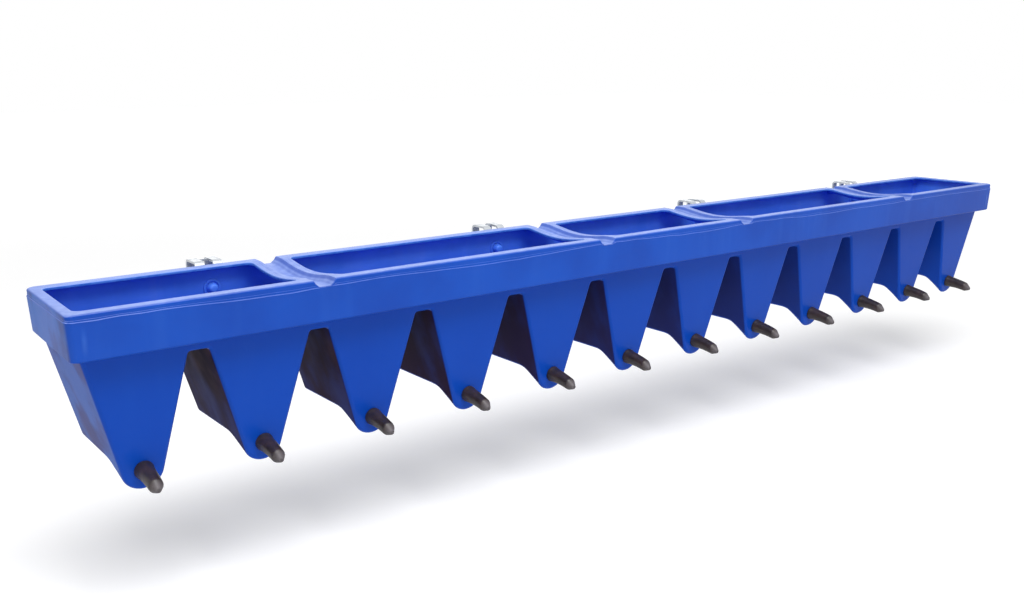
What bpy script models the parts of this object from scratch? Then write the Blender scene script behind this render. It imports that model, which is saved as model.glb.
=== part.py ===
"""Twelve-teat compartment milk feeder that hangs on a gate rail.

Frame: +X runs along the trough, the teats point towards -Y, +Z is up. The origin is the middle of
the gate rail line: half way along the trough, midway across the hooks, level with their seats.
"""
import math

import bmesh
import bpy
from mathutils import Matrix, Vector

for old_object in list(bpy.data.objects):
    bpy.data.objects.remove(old_object, do_unlink=True)

# Trough, in metres
POCKET_COUNT = 12               # one calf and one teat to a pocket
SECTION_POCKETS = (2, 3, 2, 3, 2)   # pockets under each top opening, left to right
PITCH = 0.250                   # teat to teat
WALL = 0.006                    # rotomoulded skin
BAND_HEIGHT = 0.088             # deep outer band round the rim
BAND_DEPTH = 0.292              # front to back at the foot of the band
BAND_CORNER = 0.014             # upright corners of the band
FRONT_DRAFT = 0.003             # the band leans out this much at its top, front
END_DRAFT = 0.005               # and this much at each end
BAND_FOOT_ROUND = 0.003
RIM_ROUND = 0.009               # rolled top edge
RIM_STEPS = 3                   # facets round it
FRONT_RIM = 0.030               # flat rim from the band face to the opening
BACK_RIM = 0.030
END_RIM = 0.025
OPENING_CORNER = 0.020
FRONT_OVERHANG = 0.032          # band stands proud of the pocket faces
BACK_OVERHANG = 0.008
END_OVERHANG = 0.026

# Pockets
GAP_TOP_WIDTH = 0.040           # flat top of the gap between two pockets
GAP_TOP_DROP = 0.022            # that top below the foot of the band
END_SETBACK = 0.018             # outer wall of each end pocket is this much further in
FACE_TILT = math.radians(5.6)   # pocket face leans back as it goes down
POCKET_FLARE = 0.020            # side walls open out by this much per metre towards the back
SUMP_RADIUS = 0.041             # round bottom of the pocket face, centred on the teat
TEAT_DROP = 0.241               # teat centre below the foot of the band
BASE_DROP = 0.229               # flat base of a pocket below the foot of the band
SUMP_LENGTH = 0.113             # where the base breaks down into the sump, from the band face
BASE_CORNER = 0.008             # round between the flat base and a side wall
POCKET_ROUND = 0.007            # soft edges of a pocket's face and back
EDGE_STEPS = 2                  # facets across them
OUTLINE_STEPS = 8               # facets round the bottom of a pocket

# Saddle channels across the bridges between the top openings
BRIDGE_WIDTH = 0.088            # opening to opening
CHANNEL_WIDTH = 0.042
CHANNEL_DEPTH = 0.014
SADDLE_SAG = 0.011              # the bridge is this much lower half way back
SADDLE_STEPS = 6                # facets from front to back
CHANNEL_SHAPE = ((1.0, 0.0), (0.75, 0.4), (0.45, 0.85), (0.2, 1.0))     # shares of half width and depth

# Teat, pushed through a hole in the pocket face
TEAT_NECK_RADIUS = 0.0107       # groove that grips the wall
TEAT_FLANGE_RADIUS = 0.017      # inside the pocket
TEAT_FLANGE_THICK = 0.005
TEAT_COLLAR_RADIUS = 0.019
TEAT_COLLAR_LENGTH = 0.0042
TEAT_COLLAR_TAPER = 0.0049      # cone from the collar down to the shaft
TEAT_ROOT_RADIUS = 0.0165
TEAT_WAIST_RADIUS = 0.0160
TEAT_WAIST_PLACE = 0.038        # from the pocket face
TEAT_TIP_RADIUS = 0.0148
TEAT_TIP_ROUND = 0.009          # length of the round nose
TEAT_TIP_STEPS = 3              # facets along it
TEAT_LENGTH = 0.084
TEAT_TIP_WALL = 0.008
TEAT_ROOT_BORE = 0.0083         # takes the valve stem
TEAT_BORE = 0.0100
TEAT_SAG = 0.006                # droop of the soft tip
TEAT_SAG_START = 0.025          # stiff up to here
TEAT_STEPS = 12                 # facets round a teat and its valve

# Non-return valve pushed into the root of the teat
VALVE_FLANGE_RADIUS = 0.0135
VALVE_FLANGE_THICK = 0.0025
VALVE_STEM_LENGTH = 0.017
VALVE_CHAMBER_RADIUS = 0.0062
VALVE_INLET_RADIUS = 0.0040
VALVE_INLET_LENGTH = 0.0035
VALVE_BAR = 0.002               # cross bar that keeps the ball in
BALL_RADIUS = 0.005

# Hangers on the back
HANGER_POCKETS = (2, 5, 8, 11)  # each hanger is in line with the teat of this pocket
HANGER_THICK = 0.005
HANGER_WIDTH = 0.060
HANGER_SLOT = 0.020             # between the two hook arms
HANGER_SLOT_FOOT = 0.018        # slot starts this far above the bolt
HANGER_FOOT = 0.022             # plate below the bolt
HANGER_BEND = 0.007             # inside radius of the folds
BEND_STEPS = 4                  # facets round a fold
HANGER_CORNER = 0.008           # rounded lower corners of the plate
HOOK_THROAT = 0.050             # takes a gate rail up to 48 mm
HOOK_LEG = 0.036                # rear leg below the seat
HOOK_RISE = 0.006               # top of the hook above the rim
BOLT_HEIGHT = 0.037             # bolt above the foot of the band
BOLT_RADIUS = 0.005
BOLT_HEAD_FLATS = 0.016
BOLT_HEAD_HEIGHT = 0.0064
BOLT_REACH = 0.013              # shank inside the insert
WASHER_RADIUS = 0.0105
WASHER_THICK = 0.002
INSERT_RADIUS = 0.007
INSERT_LENGTH = 0.016
BOSS_RADIUS = 0.0125            # moulded round the insert, inside the trough
BOSS_TIP_RADIUS = 0.0095
BOSS_LENGTH = 0.016
BOSS_RING_RADIUS = 0.019
BOSS_RING_HEIGHT = 0.002
ROUND_STEPS = 16                # facets round holes, bosses and fasteners
HOLE_CLEARANCE = 0.0005         # round the bolt in the hook, washer and insert

GAP = 0.0003                    # between faces that touch
OVERLAP = 0.010                 # how far a cutter runs past what it cuts

# Places that follow from the sizes above
BACK_Y = -(HOOK_THROAT / 2 + HANGER_THICK + GAP)
FRONT_Y = BACK_Y - BAND_DEPTH
RIM_Z = HANGER_THICK - HOOK_RISE
FOOT_Z = RIM_Z - BAND_HEIGHT
GAP_TOP_Z = FOOT_Z - GAP_TOP_DROP
TEAT_Z = FOOT_Z - TEAT_DROP
BASE_Z = FOOT_Z - BASE_DROP
BOLT_Z = FOOT_Z + BOLT_HEIGHT
BREAK_Y = FRONT_Y + SUMP_LENGTH
POCKET_BACK_Y = BACK_Y - BACK_OVERHANG
POCKET_END_X = (POCKET_COUNT * PITCH - GAP_TOP_WIDTH) / 2 - END_SETBACK
BAND_FOOT_X = POCKET_END_X + END_OVERHANG
BAND_TOP_X = BAND_FOOT_X + END_DRAFT
MIDDLE_Y = (FRONT_Y + FRONT_RIM + BACK_Y - BACK_RIM) / 2
HALF_SPAN_Y = (BACK_Y - BACK_RIM - FRONT_Y - FRONT_RIM) / 2


def make_material(name, colour, roughness, metallic=0.0):
    """Return a Principled material."""
    material = bpy.data.materials.new(name)
    material.use_nodes = True
    material.diffuse_color = (*colour, 1.0)
    shader = material.node_tree.nodes["Principled BSDF"]
    shader.inputs["Base Color"].default_value = (*colour, 1.0)
    shader.inputs["Roughness"].default_value = roughness
    shader.inputs["Metallic"].default_value = metallic
    return material


BLUE_PLASTIC = make_material("blue_polyethylene", (0.020, 0.080, 0.480), 0.35)
BLACK_RUBBER = make_material("black_rubber", (0.020, 0.016, 0.015), 0.60)
WHITE_PLASTIC = make_material("white_nylon", (0.80, 0.80, 0.76), 0.45)
BALL_PLASTIC = make_material("red_acetal", (0.50, 0.05, 0.04), 0.30)
ZINC_PLATE = make_material("galvanised_plate", (0.52, 0.54, 0.55), 0.45, 1.0)
BRIGHT_ZINC = make_material("bright_zinc", (0.70, 0.70, 0.68), 0.30, 1.0)
BRASS = make_material("brass", (0.62, 0.46, 0.20), 0.35, 1.0)


def add_object(name, builder, material=None):
    """Turn a bmesh into a named object; the bmesh is freed."""
    bmesh.ops.recalc_face_normals(builder, faces=builder.faces[:])
    mesh = bpy.data.meshes.new(name)
    builder.to_mesh(mesh)
    builder.free()
    item = bpy.data.objects.new(name, mesh)
    bpy.context.scene.collection.objects.link(item)
    if material:
        mesh.materials.append(material)
    return item


def add_tool(name, builder):
    """A cutter or a shape that is joined on: it stays out of the model itself."""
    item = add_object(name, builder)
    item.hide_render = True
    item.display_type = 'WIRE'
    return item


def combine(target, tool, operation):
    """Boolean modifier that stays on the target."""
    modifier = target.modifiers.new(operation.lower() + "_" + tool.name, 'BOOLEAN')
    modifier.operation = operation
    modifier.solver = 'EXACT'
    modifier.object = tool


def shade(item, angle=40):
    """Smooth the round faces and keep the real edges sharp."""
    item.data.shade_smooth()
    item.data.set_sharp_from_angle(angle=math.radians(angle))


def loft(builder, loops):
    """Closed skin through loops of the same length, with a flat cap at each end."""
    rings = [[builder.verts.new(point) for point in loop] for loop in loops]
    for low, high in zip(rings, rings[1:]):
        for i in range(len(low)):
            j = (i + 1) % len(low)
            builder.faces.new((low[i], low[j], high[j], high[i]))
    builder.faces.new(rings[0][::-1])
    builder.faces.new(rings[-1])


def revolve(builder, profile, steps, frame=Matrix()):
    """Turn (radius, height) points round the Z axis of a frame; a radius of 0 closes an end."""
    rings = []
    for radius, height in profile:
        turns = [2 * math.pi * i / steps for i in range(steps if radius else 1)]
        rings.append([builder.verts.new(frame @ Vector((radius * math.cos(a), radius * math.sin(a), height)))
                      for a in turns])
    closed = profile[0][0] != 0 and profile[-1][0] != 0
    pairs = list(zip(rings, rings[1:]))
    if closed:
        pairs.append((rings[-1], rings[0]))
    for ring, following in pairs:
        for i in range(steps):
            j = (i + 1) % steps
            corners = [ring[i % len(ring)], ring[j % len(ring)],
                       following[j % len(following)], following[i % len(following)]]
            face = []
            for corner in corners:
                if corner not in face:
                    face.append(corner)
            builder.faces.new(face)


def rounded_rectangle(low_x, high_x, low_y, high_y, radius, z, steps=5):
    """Loop of points with round corners, seen from above."""
    centres = ((high_x - radius, high_y - radius, 0), (low_x + radius, high_y - radius, 1),
               (low_x + radius, low_y + radius, 2), (high_x - radius, low_y + radius, 3))
    points = []
    for x, y, quarter in centres:
        for i in range(steps + 1):
            angle = math.pi / 2 * (quarter + i / steps)
            points.append((x + radius * math.cos(angle), y + radius * math.sin(angle), z))
    return points


def add_box(builder, low, high):
    """Plain box between two corners."""
    corners = [(low[0], low[1]), (high[0], low[1]), (high[0], high[1]), (low[0], high[1])]
    loft(builder, [[(x, y, z) for x, y in corners] for z in (low[2], high[2])])


def settle(item):
    """Replace an object's mesh by the one that its modifiers make, and drop the modifiers."""
    bpy.context.view_layer.update()
    evaluated = item.evaluated_get(bpy.context.evaluated_depsgraph_get())
    item.data = bpy.data.meshes.new_from_object(evaluated)
    item.modifiers.clear()


def place_copies(pattern, name, frames):
    """One object for each frame, all sharing the pattern's mesh; the pattern itself goes."""
    for number, frame in enumerate(frames, 1):
        item = bpy.data.objects.new(name.format(number), pattern.data)
        item.matrix_world = frame
        bpy.context.scene.collection.objects.link(item)
    bpy.data.objects.remove(pattern, do_unlink=True)


def face_y(z):
    """Front of a pocket face at a height."""
    return FRONT_Y + FRONT_OVERHANG + math.tan(FACE_TILT) * (FOOT_Z - z)


def pocket_edges(number):
    """Left and right end of a pocket's face, at the top of the gaps; pockets count from 1."""
    left = (number - 1 - POCKET_COUNT / 2) * PITCH + GAP_TOP_WIDTH / 2
    right = (number - POCKET_COUNT / 2) * PITCH - GAP_TOP_WIDTH / 2
    if number == 1:
        left = -POCKET_END_X
    if number == POCKET_COUNT:
        right = POCKET_END_X
    return left, right


def pocket_middle(number):
    """Where the teat of a pocket is."""
    left, right = pocket_edges(number)
    return (left + right) / 2


# Trough: outline of the pockets seen from the front
def wall_slope(number):
    """Angle of a side wall that runs from the gap top to touch the round of the sump."""
    left, right = pocket_edges(number)
    half = (right - left) / 2
    rise = GAP_TOP_Z - TEAT_Z
    return math.acos(SUMP_RADIUS / math.hypot(half, rise)) - math.atan2(rise, half)


def wall_offset(number, inset, z):
    """Half width of a pocket at a height, drawn in by an inset."""
    slope = wall_slope(number)
    return (SUMP_RADIUS - inset + (z - TEAT_Z) * math.sin(slope)) / math.cos(slope)


def round_bottom(number, inset):
    """Round bottom of the sump, from the left wall to the right wall."""
    slope = wall_slope(number)
    radius = SUMP_RADIUS - inset
    points = []
    for i in range(OUTLINE_STEPS + 1):
        angle = math.pi + slope + (math.pi - 2 * slope) * i / OUTLINE_STEPS
        points.append((radius * math.cos(angle), TEAT_Z + radius * math.sin(angle)))
    return points


def flat_bottom(number, inset, z):
    """Flat base with a round at each wall, in as many points as the round bottom."""
    slope = wall_slope(number)
    corner_x = wall_offset(number, inset, z) - BASE_CORNER * math.tan((math.pi / 2 - slope) / 2)
    bend = OUTLINE_STEPS // 4
    between = OUTLINE_STEPS - 1 - 2 * bend
    left = []
    for i in range(bend + 1):
        angle = math.pi + slope + (math.pi / 2 - slope) * i / bend
        left.append((BASE_CORNER * math.cos(angle) - corner_x, z + BASE_CORNER * (1 + math.sin(angle))))
    right = [(-x, height) for x, height in reversed(left)]
    middle = [(corner_x * (2 * (i + 1) / (between + 1) - 1), z) for i in range(between)]
    return left + middle + right


def comb_outline(skin, inset, top_z, flat):
    """The whole row: down and up each pocket and along each gap top. skin is 0 outside."""
    points = []
    for number in range(1, POCKET_COUNT + 1):
        middle = pocket_middle(number)
        if flat:
            bottom = flat_bottom(number, skin + inset, BASE_Z + skin + max(inset, 0))
        else:
            bottom = round_bottom(number, skin + inset)
        gap_z = GAP_TOP_Z + skin + inset
        left_z = top_z if number == 1 else gap_z
        right_z = top_z if number == POCKET_COUNT else gap_z
        points.append((middle - wall_offset(number, skin + inset, left_z), left_z))
        points.extend((middle + x, z) for x, z in bottom)
        points.append((middle + wall_offset(number, skin + inset, right_z), right_z))
    return points


def pocket_row(builder, skin, top_z, rounds):
    """Solid of all the pockets: skin is 0 for the outside and WALL for the hollow."""
    loops = []
    for inset, behind in rounds:
        outline = comb_outline(skin, inset, top_z, False)
        loops.append([(x, face_y(z) + skin + behind, z) for x, z in outline])
    break_y = BREAK_Y + skin * math.tan(math.pi / 8)    # keeps the skin even round the break
    back_y = POCKET_BACK_Y - skin
    stations = [(0, break_y)] + [(inset, back_y - behind) for inset, behind in reversed(rounds)]
    for inset, y in stations:
        flare = POCKET_FLARE * (y - FRONT_Y - FRONT_OVERHANG)
        outline = comb_outline(skin, inset, top_z, True)
        spread = comb_outline(skin, inset - flare, top_z, True)
        loops.append([(wide[0], y, plain[1]) for plain, wide in zip(outline, spread)])
    loft(builder, loops)


def band_loop(skin, z, draw_in):
    """Round-cornered loop of the band at a height; it leans out towards the top."""
    rise = (z - FOOT_Z) / BAND_HEIGHT
    half = BAND_FOOT_X + END_DRAFT * rise - skin - draw_in
    front = FRONT_Y - FRONT_DRAFT * rise + skin + draw_in
    back = BACK_Y - skin - draw_in
    return rounded_rectangle(-half, half, front, back, BAND_CORNER - min(skin, BAND_CORNER / 2), z)


def section_ends(index):
    """Left and right end of a top opening."""
    before = sum(SECTION_POCKETS[:index])
    left = (before - POCKET_COUNT / 2) * PITCH + BRIDGE_WIDTH / 2
    right = (before + SECTION_POCKETS[index] - POCKET_COUNT / 2) * PITCH - BRIDGE_WIDTH / 2
    if index == 0:
        left = -(BAND_TOP_X - END_RIM)
    if index == len(SECTION_POCKETS) - 1:
        right = BAND_TOP_X - END_RIM
    return left, right


def bridge_sag(y):
    """How far the bridge has dipped: nothing over the rims, most half way back."""
    return max(SADDLE_SAG * (1 - ((y - MIDDLE_Y) / HALF_SPAN_Y) ** 2), 0)


def saddle(builder, middle_x, skin):
    """What is cut away over a bridge: its dip, and the channel along it."""
    reach = BRIDGE_WIDTH / 2 + OPENING_CORNER + skin
    mouth = CHANNEL_WIDTH / 2
    top_z = RIM_Z + OVERLAP + SADDLE_SAG
    start = FRONT_Y - FRONT_DRAFT - OVERLAP
    stop = BACK_Y + OVERLAP
    across = [MIDDLE_Y - HALF_SPAN_Y * math.cos(math.pi * i / SADDLE_STEPS)
              for i in range(SADDLE_STEPS + 1)]
    half = [(-reach, GAP)] + [(-mouth * side - skin, GAP - (CHANNEL_DEPTH + GAP) * depth)
                              for side, depth in CHANNEL_SHAPE]
    loops = []
    for y in [start] + across + [stop]:
        surface_z = RIM_Z - bridge_sag(y) - skin
        loop = [(-reach, top_z)] + [(x, surface_z + z) for x, z in half]
        loop += [(-x, z) for x, z in reversed(loop)]
        loops.append([(middle_x + x, y, z) for x, z in loop])
    loft(builder, loops)


def bridge_middles():
    """Middle of each bridge between two top openings."""
    return [(section_ends(i)[1] + section_ends(i + 1)[0]) / 2 for i in range(len(SECTION_POCKETS) - 1)]


def saddle_tool(name, skin):
    builder = bmesh.new()
    for middle_x in bridge_middles():
        saddle(builder, middle_x, skin)
    return add_tool(name, builder)


def round_face_frame(place, turn):
    """Frame at a place whose Z axis is turned about the length of the trough."""
    return Matrix.Translation(place) @ Matrix.Rotation(turn, 4, 'X')


def teat_frame(number):
    """On the outside of a pocket face, with Z pointing out of it and a little down."""
    place = (pocket_middle(number), face_y(TEAT_Z), TEAT_Z)
    return round_face_frame(place, math.pi / 2 + FACE_TILT)


def teat_frames():
    return [teat_frame(number) for number in range(1, POCKET_COUNT + 1)]


def bolt_frame(number):
    """On the back of the trough at a hanger bolt, with Z pointing at the gate."""
    return round_face_frame((pocket_middle(number), BACK_Y, BOLT_Z), -math.pi / 2)


def add_rod(builder, radius, low, high, frame):
    """Solid cylinder along the Z axis of a frame."""
    revolve(builder, [(0, low), (radius, low), (radius, high), (0, high)], ROUND_STEPS, frame)


def outer_band():
    """Deep band round the rim, with a rolled top edge."""
    builder = bmesh.new()
    turns = [math.pi / 2 * i / RIM_STEPS for i in range(RIM_STEPS + 1)]
    levels = [(FOOT_Z, BAND_FOOT_ROUND), (FOOT_Z + BAND_FOOT_ROUND, 0)]
    levels += [(RIM_Z - RIM_ROUND * (1 - math.sin(a)), RIM_ROUND * (1 - math.cos(a))) for a in turns]
    loft(builder, [band_loop(0, z, draw_in) for z, draw_in in levels])
    return builder


def outer_pockets():
    """All the pockets from outside, with soft edges at their faces and backs."""
    builder = bmesh.new()
    turns = [math.pi / 2 * i / EDGE_STEPS for i in range(EDGE_STEPS + 1)]
    rounds = [(POCKET_ROUND * (1 - math.sin(a)), POCKET_ROUND * (1 - math.cos(a))) for a in turns]
    pocket_row(builder, 0, FOOT_Z + OVERLAP, rounds)
    return builder


def hollow_shape():
    """The space inside the skin: band, pockets, and the underside of each bridge."""
    builder = bmesh.new()
    loft(builder, [band_loop(WALL, z, 0) for z in (FOOT_Z + WALL, RIM_Z - WALL)])
    hollow = add_tool("hollow", builder)
    builder = bmesh.new()
    pocket_row(builder, WALL, FOOT_Z + WALL + OVERLAP, [(0, 0)])
    combine(hollow, add_tool("pockets_inside", builder), 'UNION')
    combine(hollow, saddle_tool("saddles_inside", WALL), 'DIFFERENCE')
    return hollow


def top_openings():
    """What is routed out of the top after moulding."""
    builder = bmesh.new()
    low_y = FRONT_Y - FRONT_DRAFT + FRONT_RIM
    high_y = BACK_Y - BACK_RIM
    for index in range(len(SECTION_POCKETS)):
        left, right = section_ends(index)
        loft(builder, [rounded_rectangle(left, right, low_y, high_y, OPENING_CORNER, z)
                       for z in (RIM_Z - CHANNEL_DEPTH - SADDLE_SAG - WALL - OVERLAP, RIM_Z + OVERLAP)])
    return builder


def insert_bosses():
    """Domes inside the back wall, each on a low ring, moulded round the thread inserts."""
    builder = bmesh.new()
    ring_top = -WALL - BOSS_RING_HEIGHT
    tip = -WALL - BOSS_LENGTH
    profile = [(0, -WALL / 2), (BOSS_RING_RADIUS, -WALL / 2), (BOSS_RING_RADIUS, ring_top),
               (BOSS_RADIUS, ring_top), (BOSS_RADIUS, tip + BOSS_RADIUS - BOSS_TIP_RADIUS),
               (BOSS_TIP_RADIUS, tip), (0, tip)]
    for number in HANGER_POCKETS:
        revolve(builder, profile, ROUND_STEPS, bolt_frame(number))
    return builder


def drilled_holes():
    """Teat holes through the pocket faces and blind holes for the thread inserts."""
    builder = bmesh.new()
    for number in range(1, POCKET_COUNT + 1):
        add_rod(builder, TEAT_NECK_RADIUS + GAP, -WALL - OVERLAP / 2, OVERLAP, teat_frame(number))
    for number in HANGER_POCKETS:
        add_rod(builder, INSERT_RADIUS + GAP, -INSERT_LENGTH - GAP, OVERLAP, bolt_frame(number))
    return builder


def build_trough():
    """One rotomoulded shell of even thickness, with its openings and holes cut out."""
    trough = add_object("trough_shell", outer_band(), BLUE_PLASTIC)
    combine(trough, add_tool("pockets_outside", outer_pockets()), 'UNION')
    combine(trough, saddle_tool("saddles_outside", 0), 'DIFFERENCE')
    combine(trough, hollow_shape(), 'DIFFERENCE')
    combine(trough, add_tool("openings", top_openings()), 'DIFFERENCE')
    combine(trough, add_tool("bosses", insert_bosses()), 'UNION')
    combine(trough, add_tool("holes", drilled_holes()), 'DIFFERENCE')
    shade(trough, 30)


# Teats, each pulled through its hole from inside
FLANGE_BACK = -(WALL + GAP + TEAT_FLANGE_THICK)     # inner face of a teat's flange
VALVE_SEAT = FLANGE_BACK - GAP                      # outer face of a valve's flange
VALVE_END = VALVE_SEAT + VALVE_STEM_LENGTH


def build_teats():
    """Flange inside, groove round the wall, collar and a tapering shaft with a soft tip outside."""
    bore_end = TEAT_LENGTH - TEAT_TIP_WALL
    taper_end = TEAT_COLLAR_LENGTH + TEAT_COLLAR_TAPER
    inside = [
        (0, bore_end),
        (TEAT_BORE, bore_end - TEAT_TIP_ROUND),
        (TEAT_BORE, VALVE_END + TEAT_BORE / 2),
        (TEAT_ROOT_BORE, VALVE_END + GAP),
        (TEAT_ROOT_BORE, FLANGE_BACK),
    ]
    outside = [
        (TEAT_FLANGE_RADIUS, FLANGE_BACK),
        (TEAT_FLANGE_RADIUS, -WALL - GAP),
        (TEAT_NECK_RADIUS, -WALL - GAP),
        (TEAT_NECK_RADIUS, GAP),
        (TEAT_COLLAR_RADIUS, GAP),
        (TEAT_COLLAR_RADIUS, TEAT_COLLAR_LENGTH),
        (TEAT_ROOT_RADIUS, taper_end),
        (TEAT_WAIST_RADIUS, TEAT_WAIST_PLACE),
    ]
    for i in range(TEAT_TIP_STEPS):
        turn = math.pi / 2 * i / TEAT_TIP_STEPS
        outside.append((TEAT_TIP_RADIUS * math.cos(turn),
                        TEAT_LENGTH - TEAT_TIP_ROUND * (1 - math.sin(turn))))
    builder = bmesh.new()
    revolve(builder, inside + outside + [(0, TEAT_LENGTH)], TEAT_STEPS)
    for vert in builder.verts:
        along = (vert.co.z - TEAT_SAG_START) / (TEAT_LENGTH - TEAT_SAG_START)
        vert.co.y -= TEAT_SAG * max(along, 0) ** 2
    teat = add_object("teat", builder, BLACK_RUBBER)
    shade(teat)
    place_copies(teat, "teat_{:02d}", teat_frames())


# Non-return valves, one pushed into the root of each teat
VALVE_STEM_RADIUS = TEAT_ROOT_BORE - GAP
BALL_SEAT = VALVE_SEAT - VALVE_FLANGE_THICK + VALVE_INLET_LENGTH
BALL_OPEN = VALVE_END - VALVE_BAR - GAP - BALL_RADIUS


def build_valves():
    """Flanged tube with a cross bar at its outer end, and the loose ball between bar and seat."""
    builder = bmesh.new()
    back = VALVE_SEAT - VALVE_FLANGE_THICK
    revolve(builder, [
        (VALVE_INLET_RADIUS, back),
        (VALVE_FLANGE_RADIUS, back),
        (VALVE_FLANGE_RADIUS, VALVE_SEAT),
        (VALVE_STEM_RADIUS, VALVE_SEAT),
        (VALVE_STEM_RADIUS, VALVE_END),
        (VALVE_CHAMBER_RADIUS, VALVE_END),
        (VALVE_CHAMBER_RADIUS, BALL_SEAT),
        (VALVE_INLET_RADIUS, BALL_SEAT),
    ], TEAT_STEPS)
    body = add_object("valve_tube", builder, WHITE_PLASTIC)
    builder = bmesh.new()
    bar_end = (VALVE_STEM_RADIUS + VALVE_CHAMBER_RADIUS) / 2
    add_box(builder, (-bar_end, -VALVE_BAR / 2, VALVE_END - VALVE_BAR), (bar_end, VALVE_BAR / 2, VALVE_END))
    bar = add_tool("valve_bar", builder)
    combine(body, bar, 'UNION')
    builder = bmesh.new()
    bmesh.ops.create_icosphere(builder, subdivisions=2, radius=BALL_RADIUS)
    ball = add_object("ball", builder, BALL_PLASTIC)
    ball.data.shade_smooth()
    settle(body)
    shade(body)
    bpy.data.objects.remove(bar, do_unlink=True)
    place_copies(body, "valve_body_{:02d}", teat_frames())
    ball_place = Matrix.Translation((0, 0, BALL_OPEN))
    place_copies(ball, "valve_ball_{:02d}", [frame @ ball_place for frame in teat_frames()])


# Hangers and their fasteners; each is modelled at its bolt, with Z pointing at the gate
PLATE_OUT = GAP + HANGER_THICK                      # gate side of the hanger plate
WASHER_OUT = PLATE_OUT + GAP + WASHER_THICK
HEAD_IN = WASHER_OUT + GAP
HEAD_OUT = HEAD_IN + BOLT_HEAD_HEIGHT


def arc(centre, radius, start, stop):
    """Points of an arc in the YZ plane, from one angle to another in degrees."""
    turns = [math.radians(start + (stop - start) * i / BEND_STEPS) for i in range(BEND_STEPS + 1)]
    return [(centre[0] + radius * math.cos(a), centre[1] + radius * math.sin(a)) for a in turns]


def hook_outline():
    """Folded plate seen from its side: up the back of the trough, over the rail and down."""
    near = BACK_Y + GAP
    far = near + HOOK_THROAT + 2 * HANGER_THICK
    fold = HANGER_BEND + HANGER_THICK
    near_fold = (near + fold, HANGER_THICK - fold)
    far_fold = (far - fold, HANGER_THICK - fold)
    outer = [(near, BOLT_Z - HANGER_FOOT)] + arc(near_fold, fold, 180, 90) + arc(far_fold, fold, 90, 0)
    outer += [(far, -HOOK_LEG), (far - HANGER_THICK, -HOOK_LEG)]
    inner = arc(far_fold, HANGER_BEND, 0, 90) + arc(near_fold, HANGER_BEND, 90, 180)
    return outer + inner + [(near + HANGER_THICK, BOLT_Z - HANGER_FOOT)]


def upright_prism(builder, half_width, low_z, radius, near, far):
    """Round-cornered block from front to back over a hanger, for its slot and its corners."""
    outline = rounded_rectangle(-half_width, half_width, low_z, HANGER_THICK + OVERLAP, radius, 0)
    loft(builder, [[(x, y, z) for x, z, _ in outline] for y in (near, far)])


def build_hangers():
    """Steel plate folded into a hook and slotted into two arms, with a hole for its bolt."""
    builder = bmesh.new()
    half = HANGER_WIDTH / 2
    loft(builder, [[(x, y, z) for y, z in hook_outline()] for x in (-half, half)])
    hook = add_object("hook", builder, ZINC_PLATE)
    near = BACK_Y - OVERLAP
    middle = BACK_Y + GAP + HANGER_THICK + HOOK_THROAT / 2
    far = 2 * middle - near
    builder = bmesh.new()
    upright_prism(builder, half, BOLT_Z - HANGER_FOOT, HANGER_CORNER, near, far)
    trim = add_tool("plate_corners", builder)
    combine(hook, trim, 'INTERSECT')
    slot_half = HANGER_SLOT / 2
    builder = bmesh.new()
    upright_prism(builder, slot_half, BOLT_Z + HANGER_SLOT_FOOT, slot_half - GAP, near, middle)
    upright_prism(builder, slot_half, -HOOK_LEG - HANGER_SLOT, slot_half - GAP, middle + GAP, far)
    slot = add_tool("arm_slot", builder)
    combine(hook, slot, 'DIFFERENCE')
    builder = bmesh.new()
    add_rod(builder, BOLT_RADIUS + HOLE_CLEARANCE, -OVERLAP, PLATE_OUT + OVERLAP,
            bolt_frame(HANGER_POCKETS[0]))
    builder.transform(Matrix.Translation((-pocket_middle(HANGER_POCKETS[0]), 0, 0)))
    hole = add_tool("bolt_hole", builder)
    combine(hook, hole, 'DIFFERENCE')
    settle(hook)
    shade(hook)
    for tool in (trim, slot, hole):
        bpy.data.objects.remove(tool, do_unlink=True)
    places = [Matrix.Translation((pocket_middle(number), 0, 0)) for number in HANGER_POCKETS]
    place_copies(hook, "hanger_hook_{}", places)


def tube_profile(inner, outer, low, high):
    """Closed profile of a plain ring or tube."""
    return [(inner, low), (outer, low), (outer, high), (inner, high)]


def build_fasteners():
    """Hexagon bolt, flat washer and brass thread insert of each hanger."""
    frames = [bolt_frame(number) for number in HANGER_POCKETS]
    hole_radius = BOLT_RADIUS + HOLE_CLEARANCE

    builder = bmesh.new()
    revolve(builder, tube_profile(hole_radius, INSERT_RADIUS, -INSERT_LENGTH, 0), ROUND_STEPS)
    insert = add_object("insert", builder, BRASS)
    shade(insert)
    place_copies(insert, "thread_insert_{}", frames)

    builder = bmesh.new()
    revolve(builder, tube_profile(hole_radius, WASHER_RADIUS, PLATE_OUT + GAP, WASHER_OUT), ROUND_STEPS)
    washer = add_object("washer", builder, BRIGHT_ZINC)
    shade(washer)
    place_copies(washer, "hanger_washer_{}", frames)

    builder = bmesh.new()
    chamfer = BOLT_HEAD_FLATS / 2
    corner = chamfer / math.cos(math.pi / 6)
    revolve(builder, [(0, HEAD_IN), (corner, HEAD_IN), (corner, HEAD_OUT - (corner - chamfer)),
                      (chamfer, HEAD_OUT), (0, HEAD_OUT)], 6)
    bolt = add_object("bolt", builder, BRIGHT_ZINC)
    builder = bmesh.new()
    add_rod(builder, BOLT_RADIUS, -BOLT_REACH, HEAD_IN + GAP, Matrix())
    shank = add_tool("shank", builder)
    combine(bolt, shank, 'UNION')
    settle(bolt)
    shade(bolt)
    bpy.data.objects.remove(shank, do_unlink=True)
    place_copies(bolt, "hanger_bolt_{}", frames)


build_trough()
build_teats()
build_valves()
build_hangers()
build_fasteners()
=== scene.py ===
import math

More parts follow.
